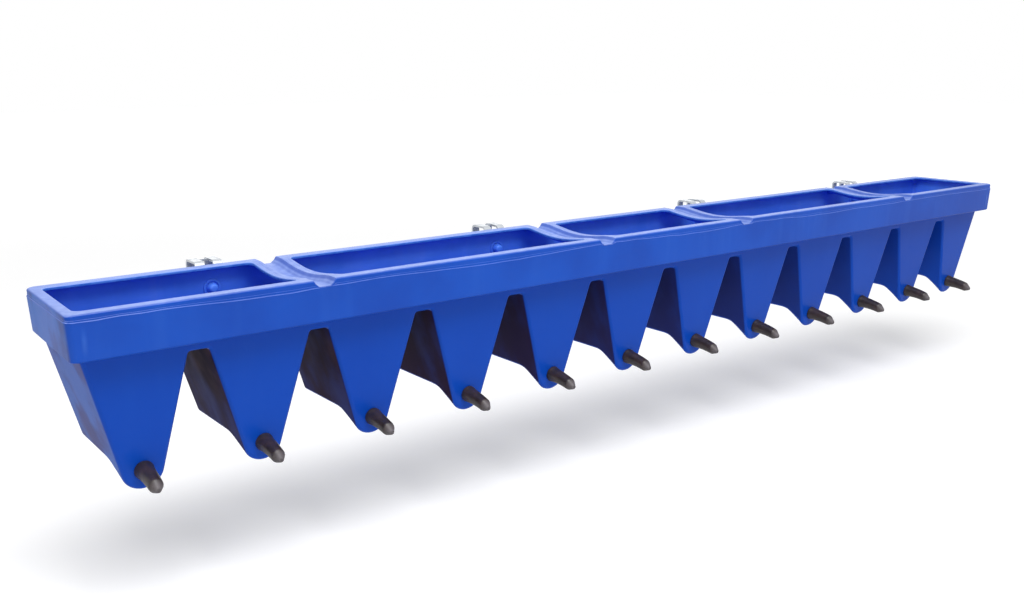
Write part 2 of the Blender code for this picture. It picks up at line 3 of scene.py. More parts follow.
import bmesh
import bpy
from mathutils import Matrix, Vector, noise


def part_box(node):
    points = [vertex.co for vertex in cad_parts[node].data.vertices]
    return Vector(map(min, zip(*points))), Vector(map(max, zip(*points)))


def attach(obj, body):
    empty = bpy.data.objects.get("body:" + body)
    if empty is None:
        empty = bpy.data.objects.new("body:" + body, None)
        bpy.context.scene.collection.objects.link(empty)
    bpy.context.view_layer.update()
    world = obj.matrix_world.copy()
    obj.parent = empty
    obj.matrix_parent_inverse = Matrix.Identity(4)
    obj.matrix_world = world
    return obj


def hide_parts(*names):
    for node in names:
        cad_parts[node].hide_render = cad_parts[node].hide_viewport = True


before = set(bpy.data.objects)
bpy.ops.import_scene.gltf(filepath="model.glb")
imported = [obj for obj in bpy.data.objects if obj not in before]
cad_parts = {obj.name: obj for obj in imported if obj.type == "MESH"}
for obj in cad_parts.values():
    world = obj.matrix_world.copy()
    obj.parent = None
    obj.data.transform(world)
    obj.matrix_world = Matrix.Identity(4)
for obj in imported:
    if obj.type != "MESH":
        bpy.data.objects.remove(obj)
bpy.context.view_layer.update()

# Trough shell: one rotomoulded polyethylene moulding, a deep band round the rim over a row of
# tapered pockets. Five openings are routed out of its top and holes drilled for teats and bolts;
# the bridges left between the openings are moulded low, each with a channel across it.
shell_low, shell_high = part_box("trough_shell")
POCKET_COUNT = 12
SECTION_POCKETS = (2, 3, 2, 3, 2)   # pockets under each opening, left to right
PITCH = 0.250                   # teat to teat
WALL = 0.006
BAND_HEIGHT = 0.088
BAND_DEPTH = 0.292              # front to back at the foot of the band
BAND_CORNER = 0.014
CORNER_STEPS = 7
FRONT_DRAFT = 0.003             # the band leans out this much at its top
END_DRAFT = 0.005
FOOT_ROUND = 0.004
FOOT_STEPS = 4
RIM_ROUND = 0.005               # rounded top edge
RIM_STEPS = 6
LIP_HEIGHT = 0.0155             # mould's parting line below the rim
LIP_SET_IN = 0.0011             # the lip above that line stands back
LIP_STEP = 0.0004               # and again by this much a little higher
FLASH = 0.0003                  # trimmed flash stands proud of the lip below the line
FACE_SET_IN = 0.0007            # keeps the flash inside the moulding's nominal size
RIM_WIDTH = 0.030               # front and back, from the band face to the opening
END_RIM = 0.025
OPENING_CORNER = 0.015
FRONT_OVERHANG = 0.032          # band stands proud of the pocket faces
BACK_OVERHANG = 0.008
END_OVERHANG = 0.026
GAP_TOP_WIDTH = 0.040           # flat top of the gap between two pockets
GAP_TOP_DROP = 0.022
GAP_TOP_ROUND = 0.007
GAP_TOP_STEPS = 4
END_SETBACK = 0.018             # outer wall of each end pocket is this much further in
FACE_TILT = math.radians(5.6)
POCKET_FLARE = 0.020            # side walls open out by this much per metre towards the back
SUMP_RADIUS = 0.041
BASE_DROP = 0.229
SUMP_LENGTH = 0.113             # from the band face to where the base breaks down
BREAK_ROUND = 0.25              # share of the sump over which that break is rounded
BASE_CORNER = 0.010
POCKET_ROUND = 0.008
POCKET_ROUND_STEPS = 5
BOTTOM_STEPS = 16
SKIRT_ROUND = 0.005             # hollow fillet between the pockets and the band
SKIRT_SET_IN = 0.0003           # so that the fillet's foot starts inside the pocket walls
SKIRT_STEPS = 5
BRIDGE_WIDTH = 0.088
CHANNEL_HALF = 0.025
CHANNEL_FLAT = 0.46             # share of it that is the floor of the channel
CHANNEL_DEPTH = 0.0142
CHANNEL_STEP = 0.6              # share of the flank above its small step
GROOVE_PLACE = 0.034            # fine groove along both sides of a bridge
GROOVE_HALF = 0.003
GROOVE_DEPTH = 0.0009
SADDLE_SAG = 0.011
SADDLE_POWER = 1.4              # above 1 the sag starts softly at the front and the back
SADDLE_REACH = 0.068            # the sag is even this far from the middle of a bridge
SADDLE_FADE = 0.040
CUT_EDGE = 0.0034               # router's round on the opening edges
CUT_ABOVE = 0.002               # that round runs out this far above the surface
CUT_DEPTH = 0.045
WAVE_RATE = 5                   # of the slow waves of the moulding, per metre
RIM_WAVE = 0.0005               # their height on the top
LINE_WAVE = 0.006               # the parting line strays from level in long waves
LINE_RIPPLE = 0.0018            # and in short ones
HOLLOW_ROUND = 0.006            # inside edge of the band's foot
HOLLOW_POCKET_ROUND = 0.005     # and of the pockets
COLUMN_STEP = 0.040             # between columns of the band's mesh
COLUMN_COUNT = 36               # such columns to each side of the middle
ROW_COUNT = 16
CHANNEL_STEP_WIDTH = 0.0015     # between columns over a bridge's channel
BRIDGE_COLUMNS = (0.044, 0.056, 0.068, 0.074)   # beside the channel, from a bridge's middle
BLUE = (0.002, 0.072, 0.48)
BLUE_DEEP = (0.001, 0.056, 0.41)
BLUE_PALE = (0.020, 0.12, 0.56)
# painted shade: the pocket faces below the band are darker
BLUE_POCKET_SHADE = (0.002, 0.058, 0.44)
# painted light: the inside blues are paler than the outside blue
BLUE_INSIDE_LIT = (0.085, 0.25, 0.90)
BLUE_SHADED = (0.060, 0.20, 0.80)
BLUE_LOW_SHADE = (0.030, 0.135, 0.73)  # painted shade, towards the bottom of the hollow
# worn edges, and a painted highlight on the ridges near the band's ends
BLUE_WORN_AND_HIGHLIGHT = (0.05, 0.17, 0.62)
# paler than the moulded skin, partly as a painted reflection of the sky
CUT_BLUE = (0.060, 0.19, 0.66)
WALL_SHADE = (0.017, 0.003, 0.011)   # painted shade and a painted dark reflection between the pockets
WALL_MUD = (0.105, 0.055, 0.062)
WALL_SHADE_REACH = 1.33          # not on the outer walls of the end pockets
# painted reflections on the end walls, darker in patches lower down
END_REFLECTION = (0.085, 0.21, 0.60)
END_DARK_REFLECTION = (0.090, 0.065, 0.090)
# dust, and a painted sheen of the sky on what faces up
DUST_AND_SHEEN = (0.46, 0.57, 0.88)
MILK_FILM = (0.42, 0.45, 0.56)

RIM_Z = shell_high.z
BACK_Y = shell_high.y
FRONT_Y = BACK_Y - BAND_DEPTH
FOOT_Z = RIM_Z - BAND_HEIGHT
TEAT_Z = shell_low.z + SUMP_RADIUS
BASE_Z = FOOT_Z - BASE_DROP
GAP_TOP_Z = FOOT_Z - GAP_TOP_DROP
BREAK_Y = FRONT_Y + SUMP_LENGTH
POCKET_FACE_Y = FRONT_Y + FRONT_OVERHANG
POCKET_BACK_Y = BACK_Y - BACK_OVERHANG
POCKET_END_X = (POCKET_COUNT * PITCH - GAP_TOP_WIDTH) / 2 - END_SETBACK
BAND_FOOT_X = POCKET_END_X + END_OVERHANG
BAND_TOP_X = BAND_FOOT_X + END_DRAFT
MIDDLE_Y = (FRONT_Y + BACK_Y) / 2
HALF_SPAN_Y = BAND_DEPTH / 2 - RIM_WIDTH
OVERLAP = 0.010                 # how far a cutter runs past what it cuts
SAME_PLACE = 0.000001           # corners nearer than this are one corner


def add_piece(name, builder, material=None):
    """Turn a bmesh into an object; the bmesh is freed."""
    bmesh.ops.recalc_face_normals(builder, faces=builder.faces[:])
    mesh = bpy.data.meshes.new(name)
    builder.to_mesh(mesh)
    builder.free()
    item = bpy.data.objects.new(name, mesh)
    bpy.context.scene.collection.objects.link(item)
    if material:
        mesh.materials.append(material)
    return item


def combine(target, tool, operation):
    """Boolean modifier that takes the tool's own material along."""
    modifier = target.modifiers.new(tool.name, 'BOOLEAN')
    modifier.operation = operation
    modifier.solver = 'EXACT'
    modifier.object = tool
    modifier.material_mode = 'TRANSFER'


def apply_modifiers(item, *tools):
    """Keep the mesh that the modifiers make, and remove the tools that it was cut with."""
    bpy.context.view_layer.update()
    evaluated = item.evaluated_get(bpy.context.evaluated_depsgraph_get())
    item.data = bpy.data.meshes.new_from_object(evaluated)
    item.modifiers.clear()
    for tool in tools:
        bpy.data.objects.remove(tool, do_unlink=True)


def join_corners(item):
    """Join corners that a cut left in the same place, with the faces without area between them."""
    builder = bmesh.new()
    builder.from_mesh(item.data)
    bmesh.ops.remove_doubles(builder, verts=builder.verts, dist=SAME_PLACE)
    builder.to_mesh(item.data)
    builder.free()


def shade(item, angle):
    """Smooth round faces, keep real edges and let the large flat faces rule the normals."""
    item.data.shade_smooth()
    item.data.set_sharp_from_angle(angle=math.radians(angle))
    weighted = item.modifiers.new("even_shading", 'WEIGHTED_NORMAL')
    weighted.keep_sharp = True
    apply_modifiers(item)


def skin_over(builder, rings):
    """Faces from ring to ring of as many vertices each, and a flat cap on the first ring."""
    for low, high in zip(rings, rings[1:]):
        for i in range(len(low)):
            j = (i + 1) % len(low)
            builder.faces.new((low[i], low[j], high[j], high[i]))
    builder.faces.new(rings[0][::-1])


def loft(builder, loops):
    """Closed skin through loops of the same length, with a flat cap at each end."""
    rings = [[builder.verts.new(point) for point in loop] for loop in loops]
    skin_over(builder, rings)
    builder.faces.new(rings[-1])


def revolve(builder, profile, steps, place=Matrix()):
    """Turn (radius, height) points round the Z axis; a radius of 0 closes an end."""
    rings = []
    for radius, height in profile:
        turns = [2 * math.pi * i / steps for i in range(steps if radius else 1)]
        points = [Vector((radius * math.cos(a), radius * math.sin(a), height)) for a in turns]
        rings.append([builder.verts.new(place @ point) for point in points])
    pairs = list(zip(rings, rings[1:]))
    if profile[0][0] and profile[-1][0]:
        pairs.append((rings[-1], rings[0]))
    for ring, following in pairs:
        for i in range(steps):
            corners = []
            for loop, k in ((ring, i), (ring, i + 1), (following, i + 1), (following, i)):
                if loop[k % len(loop)] not in corners:
                    corners.append(loop[k % len(loop)])
            builder.faces.new(corners)


def turned(corners, steps=3):
    """Profile with rounded corners from (radius, height, round) points."""
    profile = []
    for i, (radius, height, fillet) in enumerate(corners):
        here = Vector((radius, height))
        if not fillet:
            profile.append((radius, height))
            continue
        back = Vector(corners[i - 1][:2])
        ahead = Vector(corners[(i + 1) % len(corners)][:2])
        start = here + (back - here).normalized() * fillet
        stop = here + (ahead - here).normalized() * fillet
        for k in range(steps + 1):
            share = k / steps
            point = start * (1 - share) ** 2 + here * 2 * share * (1 - share) + stop * share ** 2
            profile.append((point.x, point.y))
    return profile


def ease(value):
    """Smooth step from 0 to 1."""
    value = min(max(value, 0), 1)
    return value * value * (3 - 2 * value)


def section_ends(index):
    """Left and right end of a top opening."""
    before = sum(SECTION_POCKETS[:index])
    left = (before - POCKET_COUNT / 2) * PITCH + BRIDGE_WIDTH / 2
    right = (before + SECTION_POCKETS[index] - POCKET_COUNT / 2) * PITCH - BRIDGE_WIDTH / 2
    if index == 0:
        left = END_RIM - BAND_TOP_X
    if index == len(SECTION_POCKETS) - 1:
        right = BAND_TOP_X - END_RIM
    return left, right


bridge_middles = [(section_ends(i)[1] + section_ends(i + 1)[0]) / 2
                  for i in range(len(SECTION_POCKETS) - 1)]


def dip(x, y):
    """How far the moulding lies below the rim: the sag of a bridge and the channel across it."""
    away = min(abs(x - middle) for middle in bridge_middles)
    span = max(1 - ((y - MIDDLE_Y) / HALF_SPAN_Y) ** 2, 0)
    sag = SADDLE_SAG * span ** SADDLE_POWER * (1 - ease((away - SADDLE_REACH) / SADDLE_FADE))
    side = (away / CHANNEL_HALF - CHANNEL_FLAT) / (1 - CHANNEL_FLAT)
    flank = CHANNEL_STEP * ease(2 * side - 1) + (1 - CHANNEL_STEP) * ease(1.8 * side)
    groove = 1 - ease(abs(away - GROOVE_PLACE) / GROOVE_HALF)
    return sag + CHANNEL_DEPTH * (1 - flank) + GROOVE_DEPTH * groove * min(span * 3, 1)


def wave(x, y, size):
    """Slow waviness of a cooled moulding, along its length."""
    return size * noise.noise(Vector((x * WAVE_RATE, y * WAVE_RATE, 0.3)))


def line_wave(x, y):
    """How far the parting line strays from level."""
    return wave(x * 0.7, y, LINE_WAVE) + wave(x * 4, y, LINE_RIPPLE)


def sunk(x, y):
    """How far the top lies below the highest place of the rim."""
    return dip(x, y) + RIM_WAVE / 2 + wave(x, y, RIM_WAVE)


def lowered(x, y, z, foot_z, top_z):
    """Point of a band whose top is pressed down; nothing below foot_z moves."""
    return x, y, z - sunk(x, y) * min(max((z - foot_z) / (top_z - foot_z), 0), 1)


def band_columns():
    """Places along the trough: evenly spaced, and close together over the bridges."""
    places = {round(i * COLUMN_STEP, 4) for i in range(-COLUMN_COUNT, COLUMN_COUNT + 1)}
    for middle in bridge_middles:
        places = {x for x in places if abs(x - middle) > BRIDGE_COLUMNS[-1] + 0.002}
        places |= {round(middle + i * CHANNEL_STEP_WIDTH, 5) for i in range(-25, 26)}
        places |= {round(middle + side * offset, 5) for side in (-1, 1) for offset in BRIDGE_COLUMNS}
    return sorted(places)


def band_rows(front, back):
    """Places from front to back between the corners of the band."""
    return [front + (back - front) * i / ROW_COUNT for i in range(1, ROW_COUNT)]


def band_solid(builder, skin, levels, pressed_z):
    """The band as a closed block: rings of (height, draw in, share of the parting line's wave).

    The dips of the top reach down to pressed_z."""
    columns = band_columns()
    top_z = levels[-1][0]
    rings = []
    for height, draw_in, on_line in levels:
        rise = (height - FOOT_Z) / BAND_HEIGHT
        radius = BAND_CORNER - min(skin, BAND_CORNER / 2)
        half = BAND_FOOT_X + END_DRAFT * rise - skin - draw_in - FACE_SET_IN
        front = FRONT_Y - FRONT_DRAFT * rise + skin + draw_in + FACE_SET_IN
        back = BACK_Y - skin - max(draw_in, 0)
        along = [radius - half] + columns + [half - radius]
        across = [front + radius] + band_rows(front + radius, back - radius) + [back - radius]
        sides = [[(x, front) for x in along], [(half, y) for y in across],
                 [(x, back) for x in reversed(along)], [(-half, y) for y in reversed(across)]]
        centres = ((half - radius, front + radius), (half - radius, back - radius),
                   (radius - half, back - radius), (radius - half, front + radius))
        plan = []
        for quarter, (side, (x, y)) in enumerate(zip(sides, centres)):
            plan.extend(side)
            for k in range(1, CORNER_STEPS):
                angle = math.pi / 2 * (quarter - 1 + k / CORNER_STEPS)
                plan.append((x + radius * math.cos(angle), y + radius * math.sin(angle)))
        rings.append([builder.verts.new(lowered(x, y, height + on_line * line_wave(x, y),
                                                pressed_z, top_z)) for x, y in plan])
    skin_over(builder, rings)
    grid = [[builder.verts.new(lowered(x, y, top_z, pressed_z, top_z)) for y in across] for x in along]
    for i in range(len(along) - 1):
        for j in range(len(across) - 1):
            builder.faces.new((grid[i][j], grid[i + 1][j], grid[i + 1][j + 1], grid[i][j + 1]))
    edges = [[column[0] for column in grid], grid[-1], [column[-1] for column in reversed(grid)],
             list(reversed(grid[0]))]
    top = rings[-1]
    start = 0
    for edge in edges:
        for i in range(len(edge) - 1):
            builder.faces.new((top[start + i], top[start + i + 1], edge[i + 1], edge[i]))
        start += len(edge) - 1
        for k in range(CORNER_STEPS):
            builder.faces.new((top[start + k], top[(start + k + 1) % len(top)], edge[-1]))
        start += CORNER_STEPS


def quarter_round(radius, steps):
    """(inset, behind) steps of an edge round, from the face to the side."""
    turns = [math.pi / 2 * i / steps for i in range(steps + 1)]
    return [(radius * (1 - math.sin(a)), radius * (1 - math.cos(a))) for a in turns]


def outer_band():
    """Foot, face, parting line, lip and rolled rim."""
    levels = [(FOOT_Z + behind, inset, 0) for inset, behind in quarter_round(FOOT_ROUND, FOOT_STEPS)]
    levels += [(FOOT_Z + share * BAND_HEIGHT, 0, 0) for share in (0.15, 0.35, 0.55, 0.70)]
    line = RIM_Z - LIP_HEIGHT
    levels += [(line - 0.0016, 0, 1), (line - 0.0009, -FLASH * 0.4, 1), (line - 0.0003, -FLASH, 1),
               (line + 0.0004, -FLASH * 0.7, 1), (line + 0.0011, LIP_SET_IN * 0.4, 1),
               (line + 0.0018, LIP_SET_IN, 1), (line + 0.0046, LIP_SET_IN, 0.6),
               (line + 0.0052, LIP_SET_IN + LIP_STEP, 0.6)]
    levels += [(RIM_Z - inset, LIP_SET_IN + LIP_STEP + behind, 0)
               for inset, behind in quarter_round(RIM_ROUND, RIM_STEPS)]
    builder = bmesh.new()
    band_solid(builder, 0, levels, line)
    return builder


def face_y(z):
    """Front of a pocket face at a height."""
    return POCKET_FACE_Y + math.tan(FACE_TILT) * (FOOT_Z - z)


def pocket_edges(number):
    """Left and right end of a pocket's face at the top of the gaps; pockets count from 1."""
    left = (number - 1 - POCKET_COUNT / 2) * PITCH + GAP_TOP_WIDTH / 2
    right = (number - POCKET_COUNT / 2) * PITCH - GAP_TOP_WIDTH / 2
    if number == 1:
        left = -POCKET_END_X
    if number == POCKET_COUNT:
        right = POCKET_END_X
    return left, right


def pocket_middle(number):
    return sum(pocket_edges(number)) / 2


def wall_slope(number):
    """Angle of a side wall that runs from the gap top to touch the round of the sump."""
    left, right = pocket_edges(number)
    half = (right - left) / 2
    rise = GAP_TOP_Z - TEAT_Z
    return math.acos(SUMP_RADIUS / math.hypot(half, rise)) - math.atan2(rise, half)


def wall_offset(number, inset, z):
    """Half width of a pocket at a height, drawn in by an inset."""
    slope = wall_slope(number)
    return (SUMP_RADIUS - inset + (z - TEAT_Z) * math.sin(slope)) / math.cos(slope)


def pocket_bottom(number, inset, z, flat):
    """From the left wall to the right wall: round at 0, flat with round corners at 1."""
    slope = wall_slope(number)
    corner_x = wall_offset(number, inset, z) - BASE_CORNER * math.tan((math.pi / 2 - slope) / 2)
    bend = BOTTOM_STEPS // 4
    between = BOTTOM_STEPS - 1 - 2 * bend
    left = []
    for i in range(bend + 1):
        angle = math.pi + slope + (math.pi / 2 - slope) * i / bend
        left.append((BASE_CORNER * math.cos(angle) - corner_x, z + BASE_CORNER * (1 + math.sin(angle))))
    base = left + [(corner_x * (2 * (i + 1) / (between + 1) - 1), z) for i in range(between)]
    base += [(-x, height) for x, height in reversed(left)]
    points = []
    for i, (x, height) in enumerate(base):
        angle = math.pi + slope + (math.pi - 2 * slope) * i / BOTTOM_STEPS
        radius = SUMP_RADIUS - inset
        points.append((x * flat + radius * math.cos(angle) * (1 - flat),
                       height * flat + (TEAT_Z + radius * math.sin(angle)) * (1 - flat)))
    return points


def gap_corner(number, inset, gap_z):
    """Round between the right wall of a pocket and the top of the gap beside it, going up."""
    slope = wall_slope(number)
    radius = GAP_TOP_ROUND + max(inset, 0)
    reach = wall_offset(number, inset, gap_z) + radius * math.tan((math.pi / 2 - slope) / 2)
    points = []
    for i in range(GAP_TOP_STEPS + 1):
        angle = math.pi - slope - (math.pi / 2 - slope) * i / GAP_TOP_STEPS
        points.append((reach + radius * math.cos(angle), gap_z - radius + radius * math.sin(angle)))
    return points


def comb_outline(skin, inset, widen, top_z, flat):
    """The whole row of pockets from the front: down and up each one and along each gap top."""
    points = []
    draw_in = skin + inset
    for number in range(1, POCKET_COUNT + 1):
        middle = pocket_middle(number)
        gap_z = GAP_TOP_Z + draw_in
        corner = gap_corner(number, draw_in - widen, gap_z)
        outermost = (wall_offset(number, draw_in - widen, top_z), top_z)
        left = [outermost] if number == 1 else list(reversed(corner))
        right = [outermost] if number == POCKET_COUNT else corner
        base_z = BASE_Z + skin + max(inset, 0)
        plain = pocket_bottom(number, draw_in, base_z, flat)
        wide = pocket_bottom(number, draw_in - widen, base_z, flat)
        points.extend((middle - x, z) for x, z in left)
        points.extend((middle + x, z) for (x, _), (_, z) in zip(wide, plain))
        points.extend((middle + x, z) for x, z in right)
    return points


def sump_share(along):
    """How flat the base is, from 0 at the pocket face to 1 behind the rounded break."""
    if along < 1 - BREAK_ROUND:
        return along
    return 1 - max(1 + BREAK_ROUND - along, 0) ** 2 / (4 * BREAK_ROUND)


def pocket_row(builder, skin, top_z, rounds):
    """Solid of all the pockets: skin is 0 for the outside and WALL for the hollow."""
    loops = []
    for inset, behind in rounds:
        outline = comb_outline(skin, inset, 0, top_z, 0)
        loops.append([(x, face_y(z) + skin + behind, z) for x, z in outline])
    deepest = skin + rounds[-1][1]
    break_y = BREAK_Y + skin * math.tan(math.pi / 8)
    back_y = POCKET_BACK_Y - skin
    for along in (0.15, 0.35, 0.55, 0.75, 0.85, 0.95, 1.05, 1.15, 1.25):
        y = POCKET_FACE_Y + along * (break_y - POCKET_FACE_Y)
        widen = POCKET_FLARE * (y - POCKET_FACE_Y)
        outline = comb_outline(skin, 0, widen, top_z, sump_share(along))
        loops.append([(x, y + max(1 - along, 0) * (face_y(z) + deepest - POCKET_FACE_Y), z)
                      for x, z in outline])
    for inset, behind in reversed(rounds):
        y = back_y - behind
        outline = comb_outline(skin, inset, POCKET_FLARE * (y - POCKET_FACE_Y), top_z, 1)
        loops.append([(x, y, z) for x, z in outline])
    loft(builder, loops)


def outer_pockets():
    builder = bmesh.new()
    pocket_row(builder, 0, FOOT_Z + OVERLAP, quarter_round(POCKET_ROUND, POCKET_ROUND_STEPS))
    return builder


def rounded_plan(low_x, high_x, low_y, high_y, radius, z, corner_steps=6, across=1, along=1):
    """Loop with round corners seen from above; its sides may be split into shorter stretches."""
    corners = ((high_x - radius, high_y - radius), (low_x + radius, high_y - radius),
               (low_x + radius, low_y + radius), (high_x - radius, low_y + radius))
    points = []
    for quarter, (x, y) in enumerate(corners):
        for i in range(corner_steps + 1):
            angle = math.pi / 2 * (quarter + i / corner_steps)
            points.append((x + radius * math.cos(angle), y + radius * math.sin(angle), z))
        next_x, next_y = corners[(quarter + 1) % 4]
        stretches = along if quarter % 2 == 0 else across
        last_x, last_y, _ = points[-1]
        for i in range(1, stretches):
            share = i / stretches
            points.append((last_x + (next_x - x) * share, last_y + (next_y - y) * share, z))
    return points


def pocket_skirt():
    """Hollow fillet that runs round the pockets under the band."""
    builder = bmesh.new()
    loops = []
    for inset, behind in quarter_round(SKIRT_ROUND, SKIRT_STEPS):
        z = FOOT_Z - inset
        out = behind - SKIRT_SET_IN
        half = -pocket_middle(1) + wall_offset(1, 0, z) + out
        loops.append(rounded_plan(-half, half, face_y(z) - out, POCKET_BACK_Y + out, POCKET_ROUND, z))
    loops.append([(x, y, FOOT_Z + OVERLAP / 2) for x, y, _ in loops[-1]])
    loft(builder, loops)
    return builder


def hollow_shape(material):
    """The space inside the skin, with the underside of each bridge."""
    builder = bmesh.new()
    floor_z = FOOT_Z + WALL
    levels = [(floor_z + inset, behind, 0) for inset, behind in reversed(quarter_round(HOLLOW_ROUND, 3))]
    levels += [(RIM_Z - WALL, 0, 0)]
    band_solid(builder, WALL, sorted(levels), floor_z + HOLLOW_ROUND)
    hollow = add_piece("hollow", builder, material)
    builder = bmesh.new()
    pocket_row(builder, WALL, FOOT_Z + WALL + OVERLAP, quarter_round(HOLLOW_POCKET_ROUND, 3))
    pockets = add_piece("pockets_inside", builder, material)
    combine(hollow, pockets, 'UNION')
    apply_modifiers(hollow, pockets)
    return hollow


def top_openings(material):
    """What the router takes out of the top, with its rounded upper edge."""
    builder = bmesh.new()
    low_y = FRONT_Y - FRONT_DRAFT + RIM_WIDTH
    high_y = BACK_Y - RIM_WIDTH
    steps = [(0, -CUT_EDGE)]
    for turn in (15, 30, 45, 60, 75):
        a = math.radians(turn)
        steps.append((CUT_EDGE * (1 - math.cos(a)), CUT_EDGE * (math.sin(a) - 1)))
    steps.append((CUT_EDGE, CUT_ABOVE))
    for index in range(len(SECTION_POCKETS)):
        left, right = section_ends(index)
        along = max(round((right - left) / COLUMN_STEP), 1)
        parts = {"corner_steps": 8, "across": 14, "along": along}
        loops = [rounded_plan(left, right, low_y, high_y, OPENING_CORNER, RIM_Z - CUT_DEPTH, **parts)]
        for out, rise in steps:
            plan = rounded_plan(left - out, right + out, low_y - out, high_y + out,
                                OPENING_CORNER + out, 0, **parts)
            loops.append([(x, y, RIM_Z - sunk(x, y) + rise) for x, y, _ in plan])
        loops.append([(x, y, RIM_Z + OVERLAP) for x, y, _ in loops[-1]])
        loft(builder, loops)
    return add_piece("openings", builder, material)


def leaned(x, y, z, angle):
    """A place, turned about the X axis."""
    return Matrix.Translation((x, y, z)) @ Matrix.Rotation(angle, 4, 'X')


def bolt_place(number):
    """On the back of the trough at a hanger bolt, with Z pointing at the gate."""
    low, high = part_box(f"hanger_bolt_{number}")
    return leaned((low.x + high.x) / 2, BACK_Y, (low.z + high.z) / 2, -math.pi / 2)


def teat_place(number):
    """On the outside of a pocket face, with Z pointing out of it and a little down."""
    return leaned(pocket_middle(number), face_y(TEAT_Z), TEAT_Z, math.pi / 2 + FACE_TILT)


HANGER_COUNT = 4
HOLE_STEPS = 32                 # sides of round holes and bosses
BOSS_RADIUS = 0.0125            # moulded round a thread insert, inside the trough
BOSS_LENGTH = 0.016
BOSS_TIP_RADIUS = 0.0092
BOSS_RING_RADIUS = 0.019
BOSS_RING_WIDTH = 0.0045
BOSS_RING_HEIGHT = 0.0032
BOSS_MOAT_HEIGHT = 0.0006       # low ground between the ring and the dome
INSERT_RADIUS = 0.007
INSERT_LENGTH = 0.016
TEAT_NECK_RADIUS = 0.0107
GAP = 0.0003                    # between faces that touch


def insert_bosses(material):
    """Domes inside the back wall, each inside a low ring."""
    builder = bmesh.new()
    ring_top = -WALL - BOSS_RING_HEIGHT
    tip = -WALL - BOSS_LENGTH
    moat = -WALL - BOSS_MOAT_HEIGHT
    ring_in = BOSS_RING_RADIUS - BOSS_RING_WIDTH
    profile = turned([(0, -WALL / 2, 0), (BOSS_RING_RADIUS, -WALL / 2, 0),
                      (BOSS_RING_RADIUS, ring_top, 0.0016), (ring_in, ring_top, 0.0012),
                      (ring_in - 0.0012, moat, 0.0004),
                      (BOSS_RADIUS, moat, 0.0004), (BOSS_TIP_RADIUS, tip, 0.005), (0, tip, 0)], 4)
    for number in range(1, HANGER_COUNT + 1):
        revolve(builder, profile, HOLE_STEPS, bolt_place(number))
    return add_piece("bosses", builder, material)


def drilled_holes(material):
    """Teat holes through the pocket faces and blind holes for the thread inserts."""
    builder = bmesh.new()
    drills = [(teat_place(number), TEAT_NECK_RADIUS + GAP, -WALL - OVERLAP / 2)
              for number in range(1, POCKET_COUNT + 1)]
    drills += [(bolt_place(number), INSERT_RADIUS + GAP, -INSERT_LENGTH - GAP)
               for number in range(1, HANGER_COUNT + 1)]
    for place, radius, depth in drills:
        revolve(builder, [(0, depth), (radius, depth), (radius, OVERLAP), (0, OVERLAP)], HOLE_STEPS, place)
    return add_piece("holes", builder, material)


def feed(tree, socket, value):
    """Wire a socket to another one, or set it to a number or a colour."""
    if isinstance(value, bpy.types.NodeSocket):
        tree.links.new(value, socket)
    elif socket.type == 'RGBA':
        socket.default_value = (*value, 1)
    else:
        socket.default_value = value


def maths(tree, operation, *terms):
    node = tree.nodes.new('ShaderNodeMath')
    node.operation = operation
    for socket, term in zip(node.inputs, terms):
        feed(tree, socket, term)
    return node.outputs[0]


def times(tree, value, *factors):
    """The value times each of the factors."""
    for factor in factors:
        value = maths(tree, 'MULTIPLY', value, factor)
    return value


def highest(tree, value, *others):
    """The highest of two or more values."""
    for other in others:
        value = maths(tree, 'MAXIMUM', value, other)
    return value


def scaled(tree, value, factor, offset):
    """The value times the factor, plus the offset."""
    return maths(tree, 'MULTIPLY_ADD', value, factor, offset)


def ramped(tree, value, low, high):
    """0 below low, 1 above high, smooth between; low may be the larger one."""
    node = tree.nodes.new('ShaderNodeMapRange')
    node.interpolation_type = 'SMOOTHSTEP'
    for label, term in (('Value', value), ('From Min', low), ('From Max', high)):
        feed(tree, node.inputs[label], term)
    return node.outputs['Result']


def tinted(tree, share, first, second):
    """Colour that goes from the first to the second as the share goes from 0 to 1."""
    node = tree.nodes.new('ShaderNodeMix')
    node.data_type = 'RGBA'
    for index, term in ((0, share), (6, first), (7, second)):
        feed(tree, node.inputs[index], term)
    return node.outputs[2]


def grain(tree, scale, detail=2, stretch=(1, 1, 1), turn=(0, 0, 0)):
    """Noise of 0 to 1 that stays fixed to the piece."""
    mapping = tree.nodes.new('ShaderNodeMapping')
    feed(tree, mapping.inputs['Vector'], tree.nodes.new('ShaderNodeTexCoord').outputs['Object'])
    mapping.inputs['Scale'].default_value = stretch
    mapping.inputs['Rotation'].default_value = turn
    node = tree.nodes.new('ShaderNodeTexNoise')
    feed(tree, node.inputs['Vector'], mapping.outputs[0])
    feed(tree, node.inputs['Scale'], scale)
    node.inputs['Detail'].default_value = detail
    return node.outputs[0]


def split(tree, label):
    """X, Y and Z of the piece's own 'Object' place or surface 'Normal'."""
    node = tree.nodes.new('ShaderNodeSeparateXYZ')
    feed(tree, node.inputs[0], tree.nodes.new('ShaderNodeTexCoord').outputs[label])
    return node.outputs


def new_group(name, inputs, output, output_type='NodeSocketFloat'):
    """Empty node group with named sockets; its inputs are numbers, or colours if given as three."""
    group = bpy.data.node_groups.new(name, 'ShaderNodeTree')
    for label, value in inputs.items():
        kind = 'NodeSocketColor' if isinstance(value, tuple) else 'NodeSocketFloat'
        socket = group.interface.new_socket(label, in_out='INPUT', socket_type=kind)
        socket.default_value = (*value, 1) if isinstance(value, tuple) else value
    group.interface.new_socket(output, in_out='OUTPUT', socket_type=output_type)
    entry = group.nodes.new('NodeGroupInput').outputs
    return group, entry, group.nodes.new('NodeGroupOutput').inputs[0]


